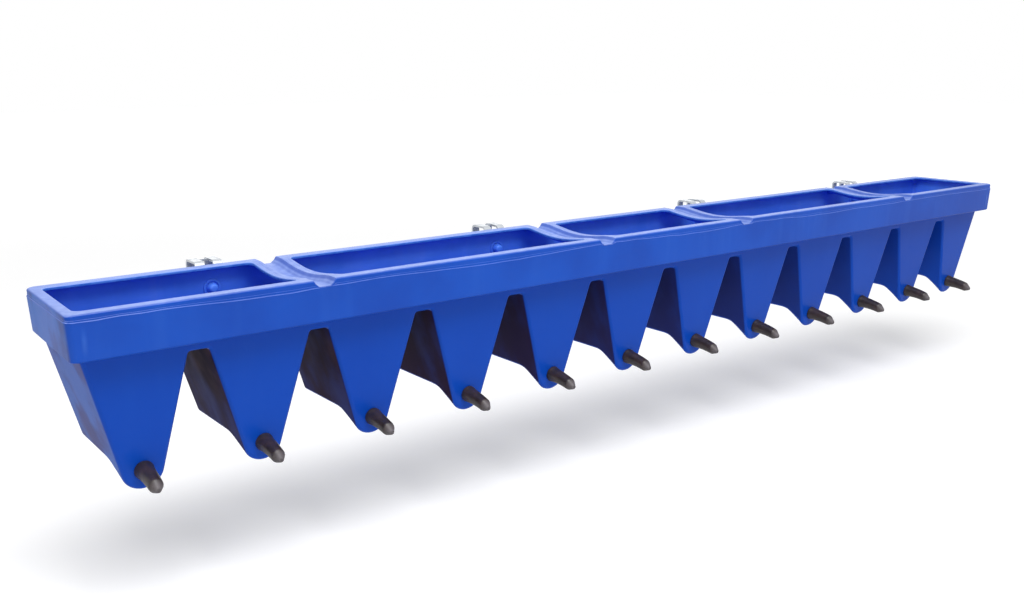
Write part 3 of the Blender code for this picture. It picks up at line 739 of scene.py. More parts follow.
def placed(tree, group, **values):
    """The group's result in a material, with that material's own values.

    A value named cloud_colour goes to the socket Cloud Colour."""
    node = tree.nodes.new('ShaderNodeGroup')
    node.node_tree = group
    for label, value in values.items():
        feed(tree, node.inputs[label.replace("_", " ").title()], value)
    return node.outputs[0]


def new_material(name, roughness, metallic=0, specular=0.5):
    material = bpy.data.materials.new(name)
    material.use_nodes = True
    tree = material.node_tree
    shader = tree.nodes["Principled BSDF"].inputs
    shader["Roughness"].default_value = roughness
    shader["Metallic"].default_value = metallic
    shader["Specular IOR Level"].default_value = specular
    return material, tree, shader


def bumped(tree, shader, height):
    """Relief from a height in metres."""
    node = tree.nodes.new('ShaderNodeBump')
    node.inputs['Distance'].default_value = 1
    feed(tree, node.inputs['Height'], height)
    feed(tree, shader["Normal"], node.outputs['Normal'])


def relief_group():
    """Slow waves of a surface that shrank as it cooled, under a finer skin; heights in metres."""
    group, given, result = new_group("skin_relief", {
        "Wave Height": 0.0006, "Wave Scale": 7.0, "Skin Height": 0.00002, "Skin Scale": 420.0}, "Height")
    heights = []
    for part in ("Wave", "Skin"):
        swing = maths(group, 'SUBTRACT', grain(group, given[part + " Scale"]), 0.5)
        heights.append(times(group, swing, given[part + " Height"]))
    feed(group, result, maths(group, 'ADD', *heights))
    return group


def patches_group():
    """Uneven colour: soft clouds of a second colour."""
    group, given, result = new_group("uneven_colour", {
        "Colour": (0.5, 0.5, 0.5), "Cloud Colour": (0.4, 0.4, 0.4), "Scale": 8.0, "Amount": 1.0},
        "Colour", 'NodeSocketColor')
    cloud = ramped(group, grain(group, given["Scale"], 4), 0.36, 0.66)
    share = times(group, cloud, given["Amount"])
    feed(group, result, tinted(group, share, given["Colour"], given["Cloud Colour"]))
    return group


def edges_group():
    """Mask of edges that are rubbed or knocked, broken up along their length."""
    group, given, result = new_group("worn_edges", {
        "Radius": 0.002, "Amount": 0.7, "Breakup Scale": 45.0}, "Mask")
    soft = group.nodes.new('ShaderNodeBevel')
    soft.samples = 4
    feed(group, soft.inputs['Radius'], given["Radius"])
    match = group.nodes.new('ShaderNodeVectorMath')
    match.operation = 'DOT_PRODUCT'
    feed(group, match.inputs[0], soft.outputs[0])
    feed(group, match.inputs[1], group.nodes.new('ShaderNodeNewGeometry').outputs['Normal'])
    edge = ramped(group, match.outputs['Value'], 0.985, 0.85)
    broken = ramped(group, grain(group, given["Breakup Scale"], 3), 0.34, 0.62)
    feed(group, result, times(group, edge, broken, given["Amount"]))
    return group


def scratches_group():
    """Mask of fine scratches in three directions."""
    group, given, result = new_group("fine_scratches", {"Scale": 260.0, "Amount": 0.5}, "Mask")
    lines = []
    for turn in ((0.3, 0.2, 0.5), (1.2, 0.4, -0.7), (0.1, 1.3, 1.9)):
        streak = grain(group, given["Scale"], 1, (0.03, 1, 1), turn)
        lines.append(ramped(group, streak, 0.70, 0.78))
    feed(group, result, times(group, highest(group, *lines), given["Amount"]))
    return group


def dust_and_sheen_group():
    """Mask of what faces up, for dust and dried splashes and a painted sheen of the sky."""
    group, given, result = new_group("settled_dust_and_sheen", {"Scale": 30.0, "Amount": 0.5}, "Mask")
    facing = ramped(group, split(group, 'Normal')['Z'], 0.20, 0.90)
    cover = scaled(group, ramped(group, grain(group, given["Scale"], 5), 0.30, 0.72), 0.3, 0.7)
    feed(group, result, times(group, facing, cover, given["Amount"]))
    return group


def runs_group():
    """Mask of streaks that liquid left as it ran down."""
    group, given, result = new_group("dried_runs", {"Scale": 30.0, "Amount": 0.5}, "Mask")
    streak = grain(group, given["Scale"], 3, (1, 1, 0.06))
    feed(group, result, times(group, ramped(group, streak, 0.50, 0.74), given["Amount"]))
    return group


skin_relief = relief_group()
uneven_colour = patches_group()
worn_edges = edges_group()
fine_scratches = scratches_group()
settled_dust_and_sheen = dust_and_sheen_group()
dried_runs = runs_group()


def moulded_blue():
    """Outside of the moulding: satin skin, painted shade and mud between the pockets, painted reflection
    on the ends, dust and a painted sheen on the rim.
    """
    material, tree, shader = new_material("rotomoulded_blue", 0.34, specular=0.09)
    shader["Coat Roughness"].default_value = 0.2
    place = split(tree, 'Object')
    from_middle = maths(tree, 'ABSOLUTE', place['X'])
    sideways = ramped(tree, maths(tree, 'ABSOLUTE', split(tree, 'Normal')['X']), 0.80, 0.97)
    under_band = ramped(tree, place['Z'], FOOT_Z + 0.004, FOOT_Z - 0.004)
    colour = placed(tree, uneven_colour, colour=BLUE, cloud_colour=BLUE_DEEP, scale=4.0)
    colour = tinted(tree, placed(tree, dried_runs, scale=26.0, amount=0.14), colour, BLUE_PALE)
    # painted shade on the pocket faces below the band
    colour = tinted(tree, times(tree, under_band, 0.7), colour, BLUE_POCKET_SHADE)

    # a slight upright ridge near both ends of the band, with a painted highlight along it
    off_ridge = maths(tree, 'ABSOLUTE', maths(tree, 'SUBTRACT', from_middle, BAND_FOOT_X - 0.026))
    ridge = ramped(tree, off_ridge, 0.007, 0.0)
    for low, high in ((FOOT_Z + 0.004, FOOT_Z + 0.030), (RIM_Z - 0.018, RIM_Z - 0.050)):
        ridge = times(tree, ridge, ramped(tree, place['Z'], low, high))
    ridge = times(tree, ridge, grain(tree, 24.0, 3))
    colour = tinted(tree, times(tree, ridge, 0.5), colour, BLUE_WORN_AND_HIGHLIGHT)

    # painted shade on the side walls between the pockets, with mud patches; painted reflection on the ends
    at_end = ramped(tree, from_middle, WALL_SHADE_REACH, WALL_SHADE_REACH + 0.01)
    between = times(tree, maths(tree, 'SUBTRACT', 1, at_end), under_band)
    cover = ramped(tree, grain(tree, 11.0, 4, (1, 1, 0.5)), 0.25, 0.60)
    # the painted shade is stronger towards the left
    more_shade_to_left = ramped(tree, place['X'], 1.9, -0.8)
    wall_cover = times(tree, scaled(tree, cover, 0.25, 0.72), more_shade_to_left)
    splashed = times(tree, ramped(tree, grain(tree, 12.0, 4), 0.42, 0.68),
                     ramped(tree, place['Z'], GAP_TOP_Z - 0.16, GAP_TOP_Z - 0.05))
    splashed = times(tree, splashed, ramped(tree, place['X'], -0.7, -1.2))
    wall_colour = tinted(tree, times(tree, splashed, 0.6), WALL_SHADE, WALL_MUD)
    # painted reflection on the ends, darker in patches and below the band
    end_darker = scaled(tree, under_band, 0.4, ramped(tree, grain(tree, 9.0, 4), 0.42, 0.64))
    end_colour = tinted(tree, times(tree, end_darker, 0.68), END_REFLECTION, END_DARK_REFLECTION)
    end_cover = scaled(tree, grain(tree, 8.0, 3), 0.7, 0.22)
    cover = highest(tree, times(tree, between, wall_cover), times(tree, at_end, end_cover))
    overlay_share = times(tree, sideways, cover)
    colour = tinted(tree, overlay_share, colour, tinted(tree, at_end, wall_colour, end_colour))

    # rubbed edges, and dust with a painted sheen of the sky, thinner on the ledges of the parting line
    worn = placed(tree, worn_edges, radius=0.003, amount=0.25)
    colour = tinted(tree, worn, colour, BLUE_WORN_AND_HIGHLIGHT)
    scratched = placed(tree, fine_scratches, scale=420.0, amount=0.25)
    dust_and_sheen = placed(tree, settled_dust_and_sheen, scale=55.0, amount=0.50)
    off_middle = maths(tree, 'ABSOLUTE', maths(tree, 'SUBTRACT', place['Y'], MIDDLE_Y))
    past_side = ramped(tree, off_middle, BAND_DEPTH / 2 - 0.003, BAND_DEPTH / 2 - 0.001)
    past_end = ramped(tree, from_middle, BAND_FOOT_X, BAND_FOOT_X + 0.002)
    dust_and_sheen = times(tree, dust_and_sheen, scaled(tree, highest(tree, past_side, past_end), -0.6, 1.0))
    feed(tree, shader["Base Color"], tinted(tree, dust_and_sheen, colour, DUST_AND_SHEEN))
    dull = highest(tree, overlay_share, dust_and_sheen)
    rough = scaled(tree, dull, 0.40, 0.30)
    rough = scaled(tree, grain(tree, 18.0, 3), 0.10, rough)
    feed(tree, shader["Roughness"], scaled(tree, scratched, 0.3, rough))
    gloss = scaled(tree, under_band, -0.16, 0.24)
    gloss = times(tree, gloss, ramped(tree, split(tree, 'Normal')['Z'], -0.50, -0.15))
    feed(tree, shader["Coat Weight"], times(tree, maths(tree, 'SUBTRACT', 1, dull), gloss))

    height = placed(tree, skin_relief, wave_height=0.0009, wave_scale=6.0,
                    skin_height=0.00003, skin_scale=380.0)
    height = scaled(tree, ridge, 0.0014, height)
    bumped(tree, shader, scaled(tree, scratched, -0.00002, height))
    return material


def inside_blue():
    """Inside of the moulding: painted paler than the outside as painted light, duller, with milk dried on
    in faint clouds and runs.
    """
    material, tree, shader = new_material("milk_filmed_blue_painted_light", 0.45, specular=0.3)
    colour = placed(tree, uneven_colour, colour=BLUE_INSIDE_LIT, cloud_colour=BLUE_SHADED, scale=9.0)
    # painted shade: darker towards the bottom of the hollow
    low_shade = ramped(tree, split(tree, 'Object')['Z'], FOOT_Z + 0.055, FOOT_Z + 0.008)
    colour = tinted(tree, low_shade, colour, BLUE_LOW_SHADE)
    runs = placed(tree, dried_runs, scale=34.0, amount=0.03)
    cloud = ramped(tree, grain(tree, 6.0, 4), 0.46, 0.80)
    overlay_share = scaled(tree, cloud, 0.08, runs)
    feed(tree, shader["Base Color"], tinted(tree, overlay_share, colour, MILK_FILM))
    feed(tree, shader["Roughness"], scaled(tree, grain(tree, 22.0, 3), 0.25, 0.30))
    bumped(tree, shader, placed(tree, skin_relief, wave_height=0.0010, wave_scale=9.0,
                                skin_height=0.00004, skin_scale=300.0))
    return material


def routed_blue():
    """Cut faces round the openings: matt, with the router's chatter across them; their paler blue and the
    dust on them are partly a painted sheen.
    """
    material, tree, shader = new_material("routed_blue", 0.55, specular=0.3)
    colour = placed(tree, uneven_colour, colour=CUT_BLUE, cloud_colour=BLUE_PALE, scale=60.0)
    dust_and_sheen = placed(tree, settled_dust_and_sheen, scale=60.0, amount=0.6)
    colour = tinted(tree, dust_and_sheen, colour, DUST_AND_SHEEN)
    worn = placed(tree, worn_edges, radius=0.0016, amount=0.5, breakup_scale=70.0)
    feed(tree, shader["Base Color"], tinted(tree, worn, colour, BLUE_WORN_AND_HIGHLIGHT))
    feed(tree, shader["Roughness"], scaled(tree, grain(tree, 90.0), 0.2, 0.42))
    bumped(tree, shader, times(tree, grain(tree, 700.0, 1, (1, 1, 0.08)), 0.00005))
    return material


blue_skin = moulded_blue()
blue_inside = inside_blue()
cut_blue = routed_blue()

trough = add_piece("trough_moulding", outer_band(), blue_skin)
pockets = add_piece("pockets_outside", outer_pockets(), blue_skin)
skirt = add_piece("pocket_skirt", pocket_skirt(), blue_skin)
hollow = hollow_shape(blue_inside)
openings = top_openings(cut_blue)
bosses = insert_bosses(blue_inside)
holes = drilled_holes(cut_blue)
for tool, operation in ((pockets, 'UNION'), (skirt, 'UNION'), (hollow, 'DIFFERENCE'),
                        (openings, 'DIFFERENCE'), (bosses, 'UNION'), (holes, 'DIFFERENCE')):
    combine(trough, tool, operation)
apply_modifiers(trough, pockets, skirt, hollow, openings, bosses, holes)
shade(trough, 32)
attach(trough, "feeder")
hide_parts("trough_shell")

# Thread inserts: M10 brass bushes, turned and knurled, set in the mould so that the bosses inside
# the back wall grip them. The hanger bolts screw into them.
BRASS = (0.60, 0.43, 0.17)
TARNISH = (0.24, 0.15, 0.07)
BOLT_RADIUS = 0.005
HOLE_CLEARANCE = 0.0005
THREAD_PITCH = 0.0015
THREAD_ROWS = 6                 # rows of the mesh to one turn of a thread
KNURL_STEPS = 48
KNURL_DEPTH = 0.0003
INSERT_GROOVE = 0.0009
INSERT_GROOVE_MOUTH = 0.0012    # from the middle of the groove to its edge
INSERT_GROOVE_FLOOR = 0.0008
INSERT_EDGE = 0.0004            # chamfers
INSERT_MOUTH = 0.0006           # countersink of the bore
INSERT_THREAD_DEPTH = 0.0004


def thread_heights(low, high):
    """Heights of the rows of a threaded stretch, upwards."""
    count = round((high - low) / THREAD_PITCH * THREAD_ROWS)
    return [low + (high - low) * i / count for i in range(count + 1)]


def thread_crest(place):
    """1 on the crest of a helical thread round the Z axis, 0 at its root."""
    turn = place.z / THREAD_PITCH - math.atan2(place.y, place.x) / (2 * math.pi)
    return abs(turn % 1 - 0.5) * 2


def widen(vert, amount):
    """Move a vertex away from the Z axis."""
    vert.co.xy *= 1 + amount / vert.co.xy.length


def insert_mesh():
    bore = BOLT_RADIUS + HOLE_CLEARANCE
    builder = bmesh.new()
    middle = -INSERT_LENGTH / 2
    top = [(INSERT_RADIUS - INSERT_EDGE, 0), (INSERT_RADIUS, -INSERT_EDGE),
           (INSERT_RADIUS, -3 * INSERT_EDGE)]
    groove = [(INSERT_RADIUS, middle + INSERT_GROOVE_MOUTH),
              (INSERT_RADIUS - INSERT_GROOVE, middle + INSERT_GROOVE_FLOOR),
              (INSERT_RADIUS - INSERT_GROOVE, middle - INSERT_GROOVE_FLOOR),
              (INSERT_RADIUS, middle - INSERT_GROOVE_MOUTH)]
    foot = [(INSERT_RADIUS, -INSERT_LENGTH + INSERT_EDGE), (INSERT_RADIUS - INSERT_EDGE, -INSERT_LENGTH)]
    bore_skin = [(bore, z) for z in thread_heights(-INSERT_LENGTH, -INSERT_MOUTH)]
    revolve(builder, top + groove + foot + bore_skin + [(bore + INSERT_MOUTH, 0)], KNURL_STEPS)
    for vert in builder.verts:
        step = round(math.atan2(vert.co.y, vert.co.x) / (2 * math.pi) * KNURL_STEPS)
        radius = vert.co.xy.length
        if abs(radius - INSERT_RADIUS) < 0.0001 and step % 2 and vert.co.z < -0.001:
            widen(vert, -KNURL_DEPTH)
        if abs(radius - bore) < 0.0001:
            widen(vert, INSERT_THREAD_DEPTH * (1 - thread_crest(vert.co)))
    return builder


def turned_brass():
    material, tree, shader = new_material("turned_brass", 0.32, metallic=1)
    colour = placed(tree, uneven_colour, colour=BRASS, cloud_colour=TARNISH, scale=160.0, amount=0.7)
    worn = placed(tree, worn_edges, radius=0.0003, amount=0.6, breakup_scale=400.0)
    feed(tree, shader["Base Color"], tinted(tree, worn, colour, BRASS))
    feed(tree, shader["Roughness"], scaled(tree, grain(tree, 300.0, 3), 0.3, 0.18))
    bumped(tree, shader, placed(tree, skin_relief, wave_height=0.00004, wave_scale=90.0,
                                skin_height=0.00001, skin_scale=1500.0))
    return material


def fit_copy(item, name, place, body, node):
    """A copy of a finished piece in its place, riding on its body in the CAD node's stead."""
    piece = item.copy()
    piece.data = item.data.copy()
    piece.data.transform(place)
    piece.name = name
    bpy.context.scene.collection.objects.link(piece)
    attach(piece, body)
    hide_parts(node)


insert = add_piece("insert", insert_mesh(), turned_brass())
shade(insert, 35)
for number in range(1, HANGER_COUNT + 1):
    fit_copy(insert, f"brass_insert_{number}", bolt_place(number), "feeder",
             f"thread_insert_{number}")
bpy.data.objects.remove(insert, do_unlink=True)

# Teats: dark rubber, moulded in one piece and pulled through the pocket wall from inside until the
# groove behind the collar grips it. The soft tip droops and is slit crosswise for the milk.
RUBBER = (0.017, 0.0115, 0.012)
RUBBER_WARM = (0.032, 0.019, 0.018)
RUBBER_PALE = (0.13, 0.115, 0.125)
TEAT_STEPS = 48
TEAT_FLANGE_RADIUS = 0.017
TEAT_FLANGE_THICK = 0.005
TEAT_COLLAR_RADIUS = 0.019
TEAT_COLLAR_LENGTH = 0.0040
TEAT_ROOT_RADIUS = 0.0172       # the collar runs out smoothly into the shaft
TEAT_ROOT_PLACE = 0.013
TEAT_WAIST_RADIUS = 0.0156
TEAT_WAIST_PLACE = 0.036
TEAT_TIP_RADIUS = 0.0143
TEAT_NOSE_LENGTH = 0.0150       # cone between the shaft and the flat end
TEAT_END_RADIUS = 0.0052
TEAT_LENGTH = 0.0832
TEAT_TIP_WALL = 0.008
TEAT_ROOT_BORE = 0.0083
TEAT_BORE = 0.0100
TEAT_SAG = 0.006
TEAT_SAG_START = 0.025
MOULD_LINE = 0.00022            # parting line down both sides
SLIT_LENGTH = 0.009
SLIT_WIDTH = 0.0005
SLIT_DEPTH = 0.0016
VALVE_STEM_LENGTH = 0.017
FLANGE_BACK = -(WALL + GAP + TEAT_FLANGE_THICK)
VALVE_SEAT = FLANGE_BACK - GAP
VALVE_END = VALVE_SEAT + VALVE_STEM_LENGTH


def teat_mesh():
    bore_end = TEAT_LENGTH - TEAT_TIP_WALL
    nose = TEAT_LENGTH - TEAT_NOSE_LENGTH
    shaft = [TEAT_WAIST_PLACE + (nose - TEAT_WAIST_PLACE) * i / 4 for i in range(1, 4)]
    narrowing = (TEAT_TIP_RADIUS - TEAT_WAIST_RADIUS) / (nose - TEAT_WAIST_PLACE)
    bore = [(0, bore_end, 0), (TEAT_BORE, bore_end, 0.006)]
    bore += [(TEAT_BORE, z, 0) for z in reversed(shaft)]
    bore += [(TEAT_BORE, VALVE_END + TEAT_BORE / 2, 0.002), (TEAT_ROOT_BORE, VALVE_END + GAP, 0.001),
             (TEAT_ROOT_BORE, FLANGE_BACK, 0.0006)]
    flange = [(TEAT_FLANGE_RADIUS, FLANGE_BACK, 0.0016), (TEAT_FLANGE_RADIUS, -WALL - GAP, 0.0012),
              (TEAT_NECK_RADIUS, -WALL - GAP, 0.0005), (TEAT_NECK_RADIUS, GAP, 0.0005)]
    collar = [(TEAT_COLLAR_RADIUS, GAP, 0.0008), (TEAT_COLLAR_RADIUS, TEAT_COLLAR_LENGTH, 0.0022),
              (TEAT_ROOT_RADIUS, TEAT_ROOT_PLACE, 0.0060),
              (TEAT_WAIST_RADIUS, TEAT_WAIST_PLACE, 0.004)]
    shaft_outside = [(TEAT_WAIST_RADIUS + narrowing * (z - TEAT_WAIST_PLACE), z, 0) for z in shaft]
    end = [(TEAT_TIP_RADIUS, nose, 0.0030), (TEAT_END_RADIUS, TEAT_LENGTH - 0.0006, 0.0014),
           (SLIT_LENGTH / 2, TEAT_LENGTH - 0.0001, 0), (0, TEAT_LENGTH, 0)]
    builder = bmesh.new()
    revolve(builder, turned(bore + flange + collar + shaft_outside + end, 5), TEAT_STEPS)
    for vert in builder.verts:
        on_line = abs(vert.co.y) < 0.0001 and vert.co.z > TEAT_COLLAR_LENGTH / 2
        if on_line and vert.co.xy.length > TEAT_BORE + 0.001 and vert.co.z < TEAT_LENGTH - 0.003:
            widen(vert, MOULD_LINE)
    return builder


def slit_tool(turn):
    """Thin wedge across the end of a teat."""
    builder = bmesh.new()
    bmesh.ops.create_cube(builder, size=1)
    for vert in builder.verts:
        narrow = 0.7 if vert.co.z < 0 else 1
        vert.co = (vert.co.x * SLIT_LENGTH * narrow, vert.co.y * SLIT_WIDTH * narrow,
                   vert.co.z * 2 * SLIT_DEPTH + TEAT_LENGTH)
    builder.transform(Matrix.Rotation(turn, 4, 'Z'))
    return add_piece("slit", builder, rubber)


def droop(item):
    """The soft part of a teat hangs lower towards its tip."""
    for vert in item.data.vertices:
        along = (vert.co.z - TEAT_SAG_START) / (TEAT_LENGTH - TEAT_SAG_START)
        vert.co.y -= TEAT_SAG * max(along, 0) ** 2


def dark_rubber():
    """Warm black, paler grey on the outward end of the tip, on rubbed edges and in fine scratches."""
    material, tree, shader = new_material("dark_rubber", 0.42, specular=0.5)
    place = split(tree, 'Object')
    colour = placed(tree, uneven_colour, colour=RUBBER, cloud_colour=RUBBER_WARM, scale=55.0)
    outward = times(tree, split(tree, 'Normal')['Y'], -1)
    worn_end = ramped(tree, place['Y'], face_y(TEAT_Z) - 0.066, face_y(TEAT_Z) - 0.080)
    pale_share = times(tree, ramped(tree, outward, 0.15, 0.75), worn_end)
    pale_share = times(tree, pale_share, scaled(tree, grain(tree, 160.0, 4), 0.6, 0.45))
    worn = placed(tree, worn_edges, radius=0.0012, amount=0.4, breakup_scale=120.0)
    pale_share = highest(tree, pale_share, worn)
    scratched = placed(tree, fine_scratches, scale=900.0, amount=0.2)
    pale_share = highest(tree, pale_share, scratched)
    feed(tree, shader["Base Color"], tinted(tree, pale_share, colour, RUBBER_PALE))
    rough = scaled(tree, grain(tree, 90.0, 3), 0.22, 0.30)
    feed(tree, shader["Roughness"], scaled(tree, pale_share, 0.2, rough))
    bumped(tree, shader, placed(tree, skin_relief, wave_height=0.0002, wave_scale=70.0,
                                skin_height=0.00002, skin_scale=1400.0))
    return material


rubber = dark_rubber()
teat = add_piece("teat", teat_mesh(), rubber)
for turn in (math.pi / 4, -math.pi / 4):
    slit = slit_tool(turn)
    combine(teat, slit, 'DIFFERENCE')
    apply_modifiers(teat, slit)
join_corners(teat)
droop(teat)
shade(teat, 40)
for number in range(1, POCKET_COUNT + 1):
    fit_copy(teat, f"feeding_teat_{number:02d}", teat_place(number), "feeder",
             f"teat_{number:02d}")
bpy.data.objects.remove(teat, do_unlink=True)

# Valves: a white nylon tube pushed into the root of each teat until its flange seats. A bar across
# its outer end keeps a loose ball in, which shuts against the cone of the inlet.
NYLON = (0.74, 0.74, 0.69)
NYLON_AGED = (0.62, 0.58, 0.46)
VALVE_FLANGE_RADIUS = 0.0135
VALVE_FLANGE_THICK = 0.0025
VALVE_CHAMBER_RADIUS = 0.0062
VALVE_INLET_RADIUS = 0.0040
VALVE_INLET_LENGTH = 0.0035
VALVE_BAR = 0.002
VALVE_STEM_RADIUS = TEAT_ROOT_BORE - GAP
BALL_SEAT = VALVE_SEAT - VALVE_FLANGE_THICK + VALVE_INLET_LENGTH
GRIP_RIBS = 3                   # low rings on the stem that hold it in the rubber
GRIP_RIB_HEIGHT = 0.0004


def valve_mesh():
    back = VALVE_SEAT - VALVE_FLANGE_THICK
    cone_top = BALL_SEAT + VALVE_CHAMBER_RADIUS - VALVE_INLET_RADIUS
    stem = VALVE_STEM_RADIUS - GRIP_RIB_HEIGHT
    corners = [(VALVE_INLET_RADIUS, back, 0.0007), (VALVE_FLANGE_RADIUS, back, 0.0008),
               (VALVE_FLANGE_RADIUS, VALVE_SEAT, 0.0005), (stem, VALVE_SEAT, 0.0004)]
    for i in range(GRIP_RIBS):
        rib = VALVE_SEAT + VALVE_STEM_LENGTH * (0.3 + 0.2 * i)
        corners += [(stem, rib - 0.0003, 0), (VALVE_STEM_RADIUS, rib, 0), (stem, rib + 0.0012, 0)]
    corners += [(stem, VALVE_END, 0.0006), (VALVE_CHAMBER_RADIUS, VALVE_END, 0.0004),
                (VALVE_CHAMBER_RADIUS, cone_top, 0.0004), (VALVE_INLET_RADIUS, BALL_SEAT, 0.0002)]
    builder = bmesh.new()
    revolve(builder, turned(corners, 3), TEAT_STEPS)
    return builder


def bar_mesh():
    """Rounded bar across the outer end of a valve."""
    reach = (VALVE_STEM_RADIUS + VALVE_CHAMBER_RADIUS) / 2
    middle_z = VALVE_END - VALVE_BAR / 2 - 0.0002
    radius = VALVE_BAR / 2
    turns = [math.pi * i / 8 for i in range(16)]
    builder = bmesh.new()
    loft(builder, [[(x, radius * math.cos(a), middle_z + radius * math.sin(a)) for a in turns]
                   for x in (-reach, reach)])
    return builder


def white_nylon():
    material, tree, shader = new_material("white_nylon", 0.45)
    colour = placed(tree, uneven_colour, colour=NYLON, cloud_colour=NYLON_AGED, scale=120.0, amount=0.6)
    worn = placed(tree, worn_edges, radius=0.0005, amount=0.5, breakup_scale=300.0)
    feed(tree, shader["Base Color"], tinted(tree, worn, colour, NYLON_AGED))
    feed(tree, shader["Roughness"], scaled(tree, grain(tree, 260.0, 3), 0.2, 0.36))
    bumped(tree, shader, placed(tree, skin_relief, wave_height=0.00005, wave_scale=120.0,
                                skin_height=0.00001, skin_scale=1800.0))
    return material


nylon = white_nylon()
valve = add_piece("valve", valve_mesh(), nylon)
bar = add_piece("bar", bar_mesh(), nylon)
combine(valve, bar, 'UNION')
apply_modifiers(valve, bar)
join_corners(valve)
shade(valve, 35)
for number in range(1, POCKET_COUNT + 1):
    fit_copy(valve, f"valve_housing_{number:02d}", teat_place(number), "feeder",
             f"valve_body_{number:02d}")
bpy.data.objects.remove(valve, do_unlink=True)

# Valve balls: red acetal, moulded in two halves, so a fine seam runs round them. They lie loose
# between the inlet cone and the bar, and move along the teat.
BALL_RED = (0.42, 0.030, 0.022)
BALL_PALE = (0.50, 0.10, 0.075)
BALL_RADIUS = 0.005
BALL_STEPS = 32
BALL_SEAM = 0.00005             # height of the seam
BALL_SEAM_WIDTH = 0.00012


def ball_mesh():
    builder = bmesh.new()
    turns = [math.pi * i / BALL_STEPS for i in range(1, BALL_STEPS // 2)]
    half = [(0, BALL_RADIUS)] + [(BALL_RADIUS * math.sin(a), BALL_RADIUS * math.cos(a)) for a in turns]
    half.append((BALL_RADIUS, BALL_SEAM_WIDTH))
    profile = half + [(BALL_RADIUS + BALL_SEAM, 0)] + [(radius, -z) for radius, z in reversed(half)]
    revolve(builder, profile, BALL_STEPS)
    return builder


def red_acetal():
    material, tree, shader = new_material("red_acetal", 0.22)
    feed(tree, shader["Base Color"], placed(tree, uneven_colour, colour=BALL_RED, cloud_colour=BALL_PALE,
                                            scale=220.0, amount=0.5))
    scratched = placed(tree, fine_scratches, scale=2500.0, amount=0.5)
    feed(tree, shader["Roughness"], scaled(tree, scratched, 0.35, 0.20))
    bumped(tree, shader, placed(tree, skin_relief, wave_height=0.00002, wave_scale=200.0,
                                skin_height=0.000004, skin_scale=3000.0))
    return material


ball = add_piece("ball", ball_mesh(), red_acetal())
shade(ball, 60)
for number in range(1, POCKET_COUNT + 1):
    low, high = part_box(f"valve_ball_{number:02d}")
    turned_in = Matrix.Rotation(1.1 * number, 4, 'X') @ Matrix.Rotation(0.7 * number, 4, 'Y')
    fit_copy(ball, f"check_ball_{number:02d}", Matrix.Translation((low + high) / 2) @ turned_in,
             f"ball_{number:02d}", f"valve_ball_{number:02d}")
bpy.data.objects.remove(ball, do_unlink=True)

# Gate hangers: 5 mm steel plate, folded twice into a hook and slotted into two arms, then hot-dip
# galvanised. Each one is bolted to the back of the trough in line with a teat.
ZINC_GREY = (0.57, 0.60, 0.63)
ZINC_DARK = (0.40, 0.43, 0.47)
ZINC_WHITE = (0.70, 0.72, 0.74)
HANGER_THICK = 0.005
HANGER_WIDTH = 0.060
HANGER_SLOT = 0.020
HANGER_SLOT_FOOT = 0.018        # slot starts this far above the bolt
HANGER_FOOT = 0.022             # plate below the bolt
HANGER_BEND = 0.007
HANGER_CORNER = 0.008
HANGER_EDGE = 0.0007            # sheared edges, softened by the zinc
HOOK_THROAT = 0.050
HOOK_LEG = 0.036
BEND_STEPS = 10
BOLT_Z = bolt_place(1).translation.z


def arc(centre, radius, start, stop):
    """Points of an arc in the YZ plane, from one angle to another in degrees."""
    turns = [math.radians(start + (stop - start) * i / BEND_STEPS) for i in range(BEND_STEPS + 1)]
    return [(centre[0] + radius * math.cos(a), centre[1] + radius * math.sin(a)) for a in turns]


def folded_plate():
    """Plate seen from its side, up the back of the trough, over the rail and down."""
    near = BACK_Y + GAP
    far = near + HOOK_THROAT + 2 * HANGER_THICK
    fold = HANGER_BEND + HANGER_THICK
    near_fold = (near + fold, HANGER_THICK - fold)
    far_fold = (far - fold, HANGER_THICK - fold)
    outer = [(near, BOLT_Z - HANGER_FOOT)] + arc(near_fold, fold, 180, 90) + arc(far_fold, fold, 90, 0)
    outer += [(far, -HOOK_LEG), (far - HANGER_THICK, -HOOK_LEG)]
    inner = arc(far_fold, HANGER_BEND, 0, 90) + arc(near_fold, HANGER_BEND, 90, 180)
    outline = outer + inner + [(near + HANGER_THICK, BOLT_Z - HANGER_FOOT)]
    builder = bmesh.new()
    loft(builder, [[(x, y, z) for y, z in outline] for x in (-HANGER_WIDTH / 2, HANGER_WIDTH / 2)])
    return builder


def upright_prism(builder, half_width, low_z, radius, near, far):
    """Round-cornered block from front to back over a hanger."""
    outline = rounded_plan(-half_width, half_width, low_z, HANGER_THICK + OVERLAP, radius, 0, 8)
    loft(builder, [[(x, y, z) for x, z, _ in outline] for y in (near, far)])


def hanger_cutters():
    """What rounds the corners of a hanger, and what is cut out of it."""
    near = BACK_Y - OVERLAP
    middle = BACK_Y + GAP + HANGER_THICK + HOOK_THROAT / 2
    far = 2 * middle - near
    slot_half = HANGER_SLOT / 2
    corners = bmesh.new()
    upright_prism(corners, HANGER_WIDTH / 2, BOLT_Z - HANGER_FOOT, HANGER_CORNER, near, far)
    cuts = bmesh.new()
    upright_prism(cuts, slot_half, BOLT_Z + HANGER_SLOT_FOOT, slot_half - GAP, near, middle)
    upright_prism(cuts, slot_half, -HOOK_LEG - HANGER_SLOT, slot_half - GAP, middle + GAP, far)
    hole = BOLT_RADIUS + HOLE_CLEARANCE
    top = OVERLAP + HANGER_THICK
    revolve(cuts, [(0, -OVERLAP), (hole, -OVERLAP), (hole, top), (0, top)], HOLE_STEPS,
            leaned(0, BACK_Y, BOLT_Z, -math.pi / 2))
    return add_piece("corners", corners), add_piece("cuts", cuts)


